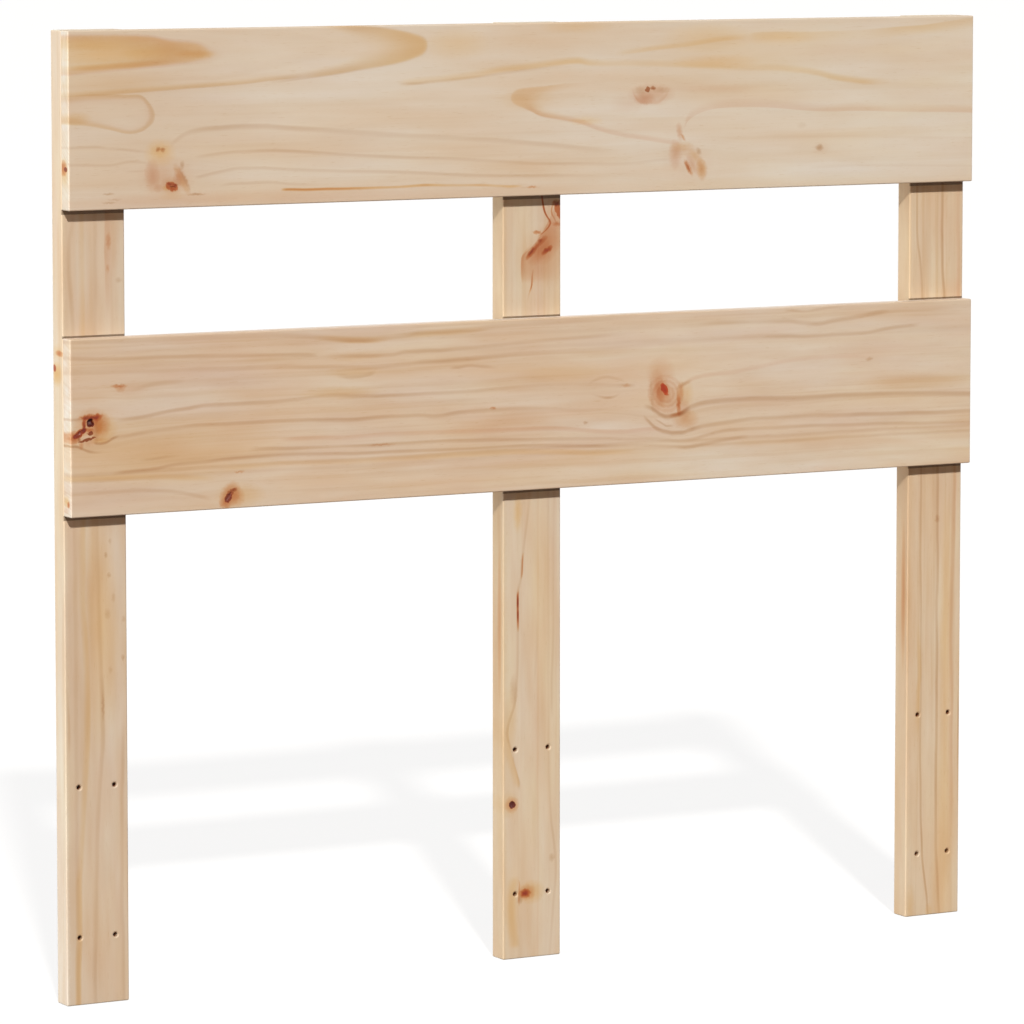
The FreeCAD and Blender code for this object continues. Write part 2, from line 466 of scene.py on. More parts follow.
    def add_tone(self, tone: Tone, amount: Wire, strength: Wire) -> None:
        """Adds amount times strength to the total of a tone.

        Args:
            tone: the tone.
            amount: how much of the mark there is at a place, from 0 to 1.
            strength: how strong the mark is.
        """
        node = add_node(
            self.tree,
            MATH,
            {"operation": "MULTIPLY_ADD"},
            {0: amount, 1: strength, 2: self.totals[tone]},
        )
        self.totals[tone] = node.outputs[0]

    def draw_line(self, line: GrainLine) -> None:
        """Draws one late wood line.

        Args:
            line: the line's course, tone and width.
        """
        tree = self.tree
        middle = tuple((u, v) for u, v, _ in line.course)
        strengths = tuple((u, s * self.pine.line_strength) for u, _, s in line.course)
        width = self.pine.line_width
        bell = ((-line.below * width, 0.0), (0.0, 1.0), (line.above * width, 0.0))
        centre = add_node(tree, CURVE, {"points": middle}, {1: self.along})
        offset = add_node(tree, MATH, {"operation": "SUBTRACT"}, {0: self.across, 1: centre})
        profile = add_node(tree, CURVE, {"points": bell}, {1: offset})
        strength = add_node(tree, CURVE, {"points": strengths}, {1: self.along})
        self.add_tone(line.tone, profile, strength)

    def draw_cathedral(self, cathedral: Cathedral) -> None:
        """Draws the rings round a pith that runs nearer to the face and further from it.

        Args:
            cathedral: the pith's course and its rings.
        """
        tree = self.tree
        middle = tuple((u, v) for u, v, _ in cathedral.pith)
        sunk = tuple((u, d) for u, _, d in cathedral.pith)
        centre = add_node(tree, CURVE, {"points": middle}, {1: self.along})
        offset = add_node(tree, MATH, {"operation": "SUBTRACT"}, {0: self.across, 1: centre})
        depth = add_node(tree, CURVE, {"points": sunk}, {1: self.along})
        section = add_node(tree, COMBINE, inputs={0: offset, 1: depth})
        radius = add_node(tree, VECTOR_MATH, {"operation": "LENGTH"}, {0: section}).outputs["Value"]
        for ring in cathedral.rings:
            bell = ((ring.radius - ring.inward, 0.0), (ring.radius, 1.0), (ring.radius + ring.outward, 0.0))
            profile = add_node(tree, CURVE, {"points": bell}, {1: radius})
            strength = add_node(tree, CURVE, {"points": ring.strengths}, {1: self.along})
            self.add_tone(ring.tone, profile, strength)

    def draw_mark(self, mark: Mark) -> None:
        """Draws one oval mark, which goes right through the board unless its depth says otherwise.

        Args:
            mark: the mark's place, size and tone.
        """
        middle = (*mark.place, mark.depth[0])
        sizes = (*mark.reach, mark.depth[1])
        turned: Wire = self.ragged
        if mark.lean:
            turned = add_node(
                self.tree,
                "ShaderNodeVectorRotate",
                {"rotation_type": "Z_AXIS"},
                {"Vector": self.ragged, "Center": middle, "Angle": -math.radians(mark.lean)},
            )
        placed = add_node(
            self.tree,
            VECTOR_MATH,
            {"operation": "MULTIPLY_ADD"},
            {0: turned, 1: tuple(1 / s for s in sizes), 2: tuple(-m / s for m, s in zip(middle, sizes))},
        )
        distance = add_node(self.tree, VECTOR_MATH, {"operation": "LENGTH"}, {0: placed}).outputs["Value"]
        profile = add_node(self.tree, CURVE, {"points": mark.edge.value}, {1: distance})
        self.add_tone(mark.tone, profile, mark.strength)

    def draw_seam(self, seam: Seam) -> None:
        """Draws the painted shade in the seam between two boards, on the front face only.

        Args:
            seam: the seam's place and width.
        """
        line = add_node(
            self.tree, MATH, {"operation": "COMPARE"}, {0: self.along, 1: seam.place, 2: seam.reach}
        )
        full, none = self.seam_depths
        face = add_node(self.tree, MAP_RANGE, inputs={0: self.depth, 1: full, 2: none, 3: 1.0, 4: 0.0})
        share = add_node(self.tree, MATH, {"operation": "MULTIPLY"}, {0: line, 1: face})
        self.add_tone(Tone.SEAM_SHADE, share.outputs[0], 1.0)

    def part_grain(self, swirl: Swirl) -> None:
        """Bends the fine grain round a knot.

        Args:
            swirl: the knot's place and size.
        """
        scale = tuple(1 / s for s in swirl.reach)
        shift = tuple(-m / s for m, s in zip(swirl.place, swirl.reach))
        placed = add_node(
            self.tree,
            VECTOR_MATH,
            {"operation": "MULTIPLY_ADD"},
            {0: self.spot, 1: (*scale, 0.0), 2: (*shift, 0.0)},
        )
        distance = add_node(self.tree, VECTOR_MATH, {"operation": "LENGTH"}, {0: placed}).outputs["Value"]
        fade = tuple((place, part * swirl.share) for place, part in self.swirl_fade)
        pull = add_node(self.tree, CURVE, {"points": fade}, {1: distance})
        sideways = add_node(self.tree, MATH, {"operation": "SUBTRACT"}, {0: swirl.place[1], 1: self.across})
        self.parted = add_node(
            self.tree, MATH, {"operation": "MULTIPLY_ADD"}, {0: pull, 1: sideways, 2: self.parted}
        ).outputs[0]

    def fibre_noise(self) -> bpy.types.NodeSocket:
        """Adds the fine fibres, half a millimetre wide, which is as coarse as they need to be to show."""
        spot = add_node(self.tree, COMBINE, inputs={0: self.along, 1: self.parted, 2: self.depth})
        return self.variation(self.fibre_scale, 3.0, spot.outputs[0], rough=0.6)

    def ring_radius(self) -> bpy.types.NodeSocket:
        """Finds the distance from the pith, which the faint rings of every face follow.

        Returns:
            The distance in mm.
        """
        sideways = add_node(
            self.tree, MATH, {"operation": "SUBTRACT"}, {0: self.parted, 1: self.pine.pith[0]}
        )
        inwards = add_node(self.tree, MATH, {"operation": "ADD"}, {0: self.depth, 1: self.pine.pith[1]})
        section = add_node(self.tree, COMBINE, inputs={0: sideways, 1: inwards})
        return add_node(self.tree, VECTOR_MATH, {"operation": "LENGTH"}, {0: section}).outputs["Value"]

    def draw_fine_grain(self, ends: bpy.types.Node) -> None:
        """Draws what runs all over the board: faint rings, fibres, slow changes of colour and resin canals.

        Args:
            ends: 1 on the end faces and 0 elsewhere.
        """
        tree = self.tree
        radius = self.ring_radius()
        ring_spot = add_node(tree, COMBINE, inputs={0: self.along, 1: radius, 2: 0.0}).outputs[0]
        # Growth rings of 3 to 12 mm, drawn out over a third of a metre along the board.
        bands = self.variation(self.band_scale, 2.0, ring_spot, rough=0.6)
        late = add_node(tree, CURVE, {"points": self.late_wood}, {1: bands})
        self.add_tone(Tone.STRAW, late, self.pine.band_strength)
        fine = self.variation(self.fine_scale, 3.0, ring_spot, rough=0.65)
        self.add_tone(Tone.STRAW, fine, self.fine_strength)
        self.add_tone(Tone.STRAW, self.fibres, self.pine.fibre_strength)
        for drift in self.pine.drifts:
            self.add_tone(drift.tone, self.variation(drift.scale, drift.detail, self.spot), drift.strength)
        # Resin canals show as fine brown dashes about 10 mm long. They are drawn a millimetre wide, which
        # is as coarse as they need to be to show.
        canals = self.variation(self.canal_scale, 1.0, self.spot)
        dashes = add_node(tree, CURVE, {"points": self.canal_share}, {1: canals})
        self.add_tone(Tone.STRAW, dashes, self.canal_strength)
        # On the sawn ends the growth rings show as fine arcs, and the ends are painted paler, as painted
        # light.
        rings = self.variation(self.end_ring_scale, 2.0, ring_spot)
        arcs = add_node(tree, MATH, {"operation": "MULTIPLY"}, {0: ends, 1: rings})
        self.add_tone(Tone.TAN, arcs.outputs[0], self.pine.end_strength)
        self.add_tone(Tone.ROSE, ends, -self.pine.end_painted_light)

    def colour(self) -> bpy.types.Node:
        """Works out the colour of the wood from the light that all its marks take away.

        Returns:
            A node that gives the colour.
        """
        tree = self.tree
        density: bpy.types.Node | None = None
        for tone, total in self.totals.items():
            if isinstance(total, float):
                continue
            part = add_node(
                tree, VECTOR_MATH, {"operation": "SCALE"}, {0: tuple(-d for d in tone.value), "Scale": total}
            )
            if density is None:
                density = part
            else:
                density = add_node(tree, VECTOR_MATH, {"operation": "ADD"}, {0: density, 1: part})
        parts = add_node(tree, SPLIT, inputs={0: density})
        passed = [
            add_node(tree, MATH, {"operation": "EXPONENT"}, {0: parts.outputs[i]}) for i in range(3)
        ]
        share = add_node(tree, COMBINE, inputs={0: passed[0], 1: passed[1], 2: passed[2]})
        return add_node(
            tree, VECTOR_MATH, {"operation": "MULTIPLY"}, {0: share, 1: linear(self.pine.ground)[:3]}
        )


@dataclass(frozen=True)
class ZincPlate:
    """Zinc plated steel, cold headed and rolled: pale silver with a faint blue cast and a soft shine."""

    name: str = "Zinc plated steel, cold headed"
    bright: str = "#C9CDD0"
    dull: str = "#A9ABA6"
    patch: float = 2.0
    grit: float = 0.4
    grit_range: tuple[float, float] = (0.3, 0.7)
    roughness: tuple[float, float] = (0.26, 0.42)
    relief_height: float = 0.02
    relief_strength: float = 0.2

    def make(self) -> bpy.types.Material:
        """Makes the plating's material.

        Returns:
            The material.
        """
        material = bpy.data.materials.new(self.name)
        material.use_nodes = True
        tree = material.node_tree
        tree.nodes.clear()
        where = add_node(tree, COORDINATES).outputs["Object"]
        # Patches of the passivation are about 2 mm across. The plating's grain is finer than the 0.4 mm
        # that it is drawn at, which is as coarse as it needs to be to show.
        patches = add_node(
            tree, NOISE, inputs={"Vector": where, "Scale": 1 / (self.patch * MM), "Detail": 2.0}
        )
        grain = add_node(tree, NOISE, inputs={"Vector": where, "Scale": 1 / (self.grit * MM), "Detail": 3.0})
        colour = add_node(
            tree,
            MIX,
            {"data_type": "RGBA"},
            {0: patches.outputs[0], 6: linear(self.bright), 7: linear(self.dull)},
        )
        gloss = add_node(
            tree,
            MAP_RANGE,
            inputs={
                0: grain,
                1: self.grit_range[0],
                2: self.grit_range[1],
                3: self.roughness[0],
                4: self.roughness[1],
            },
        )
        relief = add_node(
            tree,
            BUMP,
            inputs={
                "Strength": self.relief_strength,
                "Distance": self.relief_height * MM,
                "Height": grain,
            },
        )
        shader = add_node(
            tree,
            SHADER,
            inputs={
                "Base Color": colour.outputs[2],
                "Roughness": gloss,
                "Normal": relief,
                "Metallic": 1.0,
            },
        )
        add_node(tree, OUTPUT, inputs={0: shader})
        return material


def pick_faces(piece: bpy.types.Object, wanted: Callable[[bpy.types.MeshPolygon], bool]) -> None:
    """Goes into edit mode with only the wanted faces selected.

    Args:
        piece: the active object.
        wanted: says whether a face is selected.
    """
    bpy.ops.object.mode_set(mode="EDIT")
    bpy.ops.mesh.select_mode(type="FACE")
    bpy.ops.mesh.select_all(action="DESELECT")
    bpy.ops.object.mode_set(mode="OBJECT")
    for face in piece.data.polygons:
        face.select = wanted(face)
    bpy.ops.object.mode_set(mode="EDIT")


def apply_place(piece: bpy.types.Object) -> None:
    """Puts the object's place, turn and size into its mesh.

    Args:
        piece: the object.
    """
    bpy.ops.object.select_all(action="DESELECT")
    piece.select_set(True)
    bpy.context.view_layer.objects.active = piece
    bpy.ops.object.transform_apply(location=True, rotation=True, scale=True)


@dataclass(frozen=True)
class Drill:
    """A hole along the depth of a board, with a flared mouth on one face and a flat or pointed end."""

    diameter: float
    mouth_diameter: float
    flare: float
    point: float = 0.0
    point_radius: float = 0.05
    facets: int = 48
    spare: float = 0.6

    def cutter(self, spots: list[tuple[float, float]], mouth: float, end: float) -> bpy.types.Object:
        """Models one cutter and copies it to every place.

        Args:
            spots: x and z of the holes, in metres.
            mouth: y of the face that the mouth is on, in metres.
            end: y where the hole ends, in metres.

        Returns:
            All the cutters as one object.
        """
        side = 1.0 if mouth > end else -1.0
        throat = mouth - side * self.flare * MM
        centre = (spots[0][0], (throat + end) / 2, spots[0][1])
        bpy.ops.object.select_all(action="DESELECT")
        bpy.ops.mesh.primitive_cylinder_add(
            vertices=self.facets,
            radius=self.diameter / 2 * MM,
            depth=abs(throat - end),
            location=centre,
            rotation=(math.radians(90), 0.0, 0.0),
        )
        first = bpy.context.object
        apply_place(first)
        # The flare's slope carries on past the face, so that no edge of the cutter lies in the face.
        slope = (self.mouth_diameter - self.diameter) / 2 / self.flare
        rim = self.mouth_diameter / 2 + self.spare * slope
        self.draw_out(first, side, self.flare + self.spare, rim, centre)
        if self.point:
            self.draw_out(first, -side, self.point, self.point_radius, centre)
        cutters = [first]
        for x, z in spots[1:]:
            bpy.ops.object.select_all(action="DESELECT")
            first.select_set(True)
            bpy.context.view_layer.objects.active = first
            bpy.ops.object.duplicate_move(
                TRANSFORM_OT_translate={"value": (x - spots[0][0], 0.0, z - spots[0][1])}
            )
            cutters.append(bpy.context.object)
        bpy.ops.object.select_all(action="DESELECT")
        for cutter in cutters:
            cutter.select_set(True)
        bpy.context.view_layer.objects.active = first
        bpy.ops.object.join()
        apply_place(first)
        return first

    def draw_out(
        self, cutter: bpy.types.Object, side: float, length: float, radius: float, centre: tuple[float, ...]
    ) -> None:
        """Draws one end of the cutter out to a cone.

        Args:
            cutter: the straight cutter.
            side: 1 for the end towards the board's back, -1 for the other.
            length: how far the end is drawn out in mm.
            radius: radius of the cone's end in mm.
            centre: a point on the cutter's axis.
        """
        pick_faces(cutter, lambda face: face.normal.y * side > FACING)
        bpy.ops.mesh.extrude_region_move(TRANSFORM_OT_translate={"value": (0.0, side * length * MM, 0.0)})
        widen = radius / (self.diameter / 2)
        bpy.ops.transform.resize(value=(widen, 1.0, widen), center_override=centre)
        bpy.ops.object.mode_set(mode="OBJECT")


@dataclass(frozen=True)
class Pit:
    """A ragged hollow where a dead knot has dropped out, as (along, across), half sizes and depth in mm."""

    place: tuple[float, float]
    reach: tuple[float, float]
    depth: float
    lean: float = 0.0
    roughness: float = 0.12
    outward: float = 0.6
    subdivisions: int = 3
    seed: int = 1

    def cutter(self, run: Run, origin: Vector) -> bpy.types.Object:
        """Models the hollow as a lumpy ball that sits half in the front face.

        Args:
            run: which way the grain runs.
            origin: the point that the grain is measured from, in metres.

        Returns:
            The cutter.
        """
        along, across, _ = run.value
        centre = list(origin)
        centre[along] += self.place[0] * MM
        centre[across] += self.place[1] * MM
        size = [0.0, self.depth * MM, 0.0]
        size[along] = self.reach[0] * MM
        size[across] = self.reach[1] * MM
        turn = math.radians(self.lean) * (-1.0 if run is Run.LEVEL else 1.0)
        bpy.ops.object.select_all(action="DESELECT")
        bpy.ops.mesh.primitive_ico_sphere_add(
            subdivisions=self.subdivisions,
            radius=1.0,
            location=centre,
            rotation=(0.0, turn, 0.0),
            scale=size,
        )
        ball = bpy.context.object
        apply_place(ball)
        bpy.ops.object.mode_set(mode="EDIT")
        bpy.ops.mesh.select_all(action="SELECT")
        bpy.ops.transform.vertex_random(
            offset=self.roughness * min(self.reach) * MM, uniform=0.0, normal=self.outward, seed=self.seed
        )
        bpy.ops.object.mode_set(mode="OBJECT")
        return ball


@dataclass
class Board:
    """A planed pine board in the place of one node of the frame. Sizes are in mm."""

    node: str
    run: Run
    pine: PlanedPine
    arris: float = 1.5
    arris_facets: int = 4
    smooth_angle: float = 30.0
    pits: tuple[Pit, ...] = ()

    def origin(self) -> Vector:
        """Finds the point of the front face that the grain is measured from.

        Returns:
            The middle of a plank's face, or the middle of a post's foot, in metres.
        """
        low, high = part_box(self.node)
        start = (low + high) / 2
        start.y = low.y
        if self.run is Run.UPRIGHT:
            start.z = low.z
        return start

    def finish(self) -> PlanedPine:
        """Gives the board's finish."""
        return self.pine

    def saw(self) -> bpy.types.Object:
        """Saws the board to size and rounds its arrises.

        Returns:
            The board.
        """
        low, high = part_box(self.node)
        bpy.ops.object.select_all(action="DESELECT")
        bpy.ops.mesh.primitive_cube_add(size=1.0, location=(low + high) / 2, scale=high - low)
        board = bpy.context.object
        board.name = f"pine_{self.node}"
        board.data.name = board.name
        apply_place(board)
        bpy.ops.object.mode_set(mode="EDIT")
        bpy.ops.mesh.select_mode(type="EDGE")
        bpy.ops.mesh.select_all(action="SELECT")
        bpy.ops.mesh.bevel(offset=self.arris * MM, segments=self.arris_facets, affect="EDGES")
        bpy.ops.object.mode_set(mode="OBJECT")
        return board

    def cut(self, board: bpy.types.Object, cutter: bpy.types.Object) -> None:
        """Cuts a shape out of the board and throws the cutter away.

        Args:
            board: the board.
            cutter: the shape.
        """
        bpy.ops.object.select_all(action="DESELECT")
        board.select_set(True)
        bpy.context.view_layer.objects.active = board
        bpy.ops.object.modifier_add(type="BOOLEAN")
        modifier = board.modifiers[-1]
        modifier.operation = "DIFFERENCE"
        modifier.solver = "EXACT"
        modifier.object = cutter
        bpy.ops.object.modifier_apply(modifier=modifier.name)
        bpy.data.objects.remove(cutter)

    def smooth(self, board: bpy.types.Object) -> None:
        """Smooths the round parts and keeps the planed faces flat.

        Args:
            board: the board.
        """
        bpy.ops.object.select_all(action="DESELECT")
        board.select_set(True)
        bpy.context.view_layer.objects.active = board
        bpy.ops.object.shade_smooth_by_angle(angle=math.radians(self.smooth_angle))
        bpy.ops.object.modifier_add(type="WEIGHTED_NORMAL")
        modifier = board.modifiers[-1]
        modifier.keep_sharp = True
        bpy.ops.object.modifier_apply(modifier=modifier.name)

    def dress(self, board: bpy.types.Object) -> None:
        """Gives the board its pine and ties it to the frame.

        Args:
            board: the board.
        """
        low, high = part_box(self.node)
        along = self.run.value[0]
        length = (high[along] - low[along]) / MM
        middle = ((low[along] + high[along]) / 2 - self.origin()[along]) / MM
        board.data.materials.clear()
        board.data.materials.append(self.finish().make(self.run, self.origin(), length, middle))
        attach(board, "root")
        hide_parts(self.node)
        LOG.info("%s: %d faces", board.name, len(board.data.polygons))


@dataclass
class Screws:
    """The screws behind each crossing, which keep their own shape. Heights and spacings are in mm."""

    plating: ZincPlate = field(default_factory=ZincPlate)
    side_margin: float = 15.0
    edge_margin: float = 31.0

    def spots(self, plank: str, post: str) -> list[tuple[float, float]]:
        """Gives the places of the four screws of one crossing.

        Args:
            plank: the plank's node.
            post: the post's node.

        Returns:
            Their x and z in metres.
        """
        post_low, post_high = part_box(post)
        plank_low, plank_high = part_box(plank)
        columns = (post_low.x + self.side_margin * MM, post_high.x - self.side_margin * MM)
        rows = (plank_low.z + self.edge_margin * MM, plank_high.z - self.edge_margin * MM)
        return [(x, z) for x in columns for z in rows]

    def dress(self, nodes: dict[str, bpy.types.Object]) -> None:
        """Plates every screw of the frame.

        Args:
            nodes: the frame's objects by name.
        """
        plating = self.plating.make()
        for name, node in nodes.items():
            if name.endswith("_screws"):
                node.data.materials.clear()
                node.data.materials.append(plating)
                LOG.info("%s: plated", name)


@dataclass
class Post(Board):
    """A post with its four bed bolt holes and the countersunk holes of its screws."""

    bed_drill: Drill = Drill(diameter=5.0, mouth_diameter=7.6, flare=0.9)
    screw_drill: Drill = Drill(diameter=4.5, mouth_diameter=9.0, flare=2.25)
    bed_margin: float = 15.0
    bed_rows: tuple[float, float] = (70.0, 226.0)
    # Painted shade darkens the walls inside each bolt hole.
    hole_shade_reach: float = 4.2
    hole_shade_strength: float = 1.3
    hole_shade_depth: tuple[float, float] = (15.0, 12.6)
    # Painted shade: a thin dark line just above each plank, and a wider one in the corner under it.
    seam_above: Seam = Seam(0.6, 1.3)
    seam_below: Seam = Seam(-2.0, 2.5)

    def finish(self) -> PlanedPine:
        """Gives the post's pine, with painted shade inside its bolt holes and a thin line of painted shade
        above and below each plank.

        Returns:
            The finish.
        """
        low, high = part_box(self.node)
        sideways = (high.x - low.x) / 2 / MM - self.bed_margin
        # The walls inside each bolt hole get painted shade.
        hole_shade = Mark(
            Tone.UMBER,
            (0.0, 0.0),
            (self.hole_shade_reach, self.hole_shade_reach),
            self.hole_shade_strength,
            edge=Edge.CRISP,
            depth=self.hole_shade_depth,
        )
        hole_shades = tuple(
            replace(hole_shade, place=(row, side)) for row in self.bed_rows for side in (-sideways, sideways)
        )
        planks = [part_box(plank) for plank in PLANKS]
        tops = [(top.z - low.z) / MM for _, top in planks]
        bottoms = [(bottom.z - low.z) / MM for bottom, _ in planks]
        above = tuple(replace(self.seam_above, place=top + self.seam_above.place) for top in tops)
        below = tuple(replace(self.seam_below, place=bottom + self.seam_below.place) for bottom in bottoms)
        return replace(self.pine, marks=(*self.pine.marks, *hole_shades), seams=(*above, *below))

    def build(self, screws: Screws) -> bpy.types.Object:
        """Builds the post.

        Args:
            screws: the screws that go through it.

        Returns:
            The finished post.
        """
        board = self.saw()
        low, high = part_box(self.node)
        columns = (low.x + self.bed_margin * MM, high.x - self.bed_margin * MM)
        bed = [(x, low.z + row * MM) for x in columns for row in self.bed_rows]
        self.cut(board, self.bed_drill.cutter(bed, low.y, high.y + MM))
        spots = [spot for plank in PLANKS for spot in screws.spots(plank, self.node)]
        self.cut(board, self.screw_drill.cutter(spots, high.y, low.y - MM))
        for pit in self.pits:
            self.cut(board, pit.cutter(self.run, self.origin()))
        self.smooth(board)
        self.dress(board)
        return board


@dataclass
class Plank(Board):
    """A plank with the pilot holes of its screws in its back."""

    pilot_drill: Drill = Drill(diameter=4.1, mouth_diameter=4.5, flare=0.2, point=1.2)
    pilot_depth: float = 12.2

    def build(self, screws: Screws) -> bpy.types.Object:
        """Builds the plank.

        Args:
            screws: the screws that hold it.

        Returns:
            The finished plank.
        """
        board = self.saw()
        _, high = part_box(self.node)
        spots = [spot for post in POSTS for spot in screws.spots(self.node, post)]
        self.cut(board, self.pilot_drill.cutter(spots, high.y, high.y - self.pilot_depth * MM))
        for pit in self.pits:
            self.cut(board, pit.cutter(self.run, self.origin()))
        self.smooth(board)
        self.dress(board)
        return board


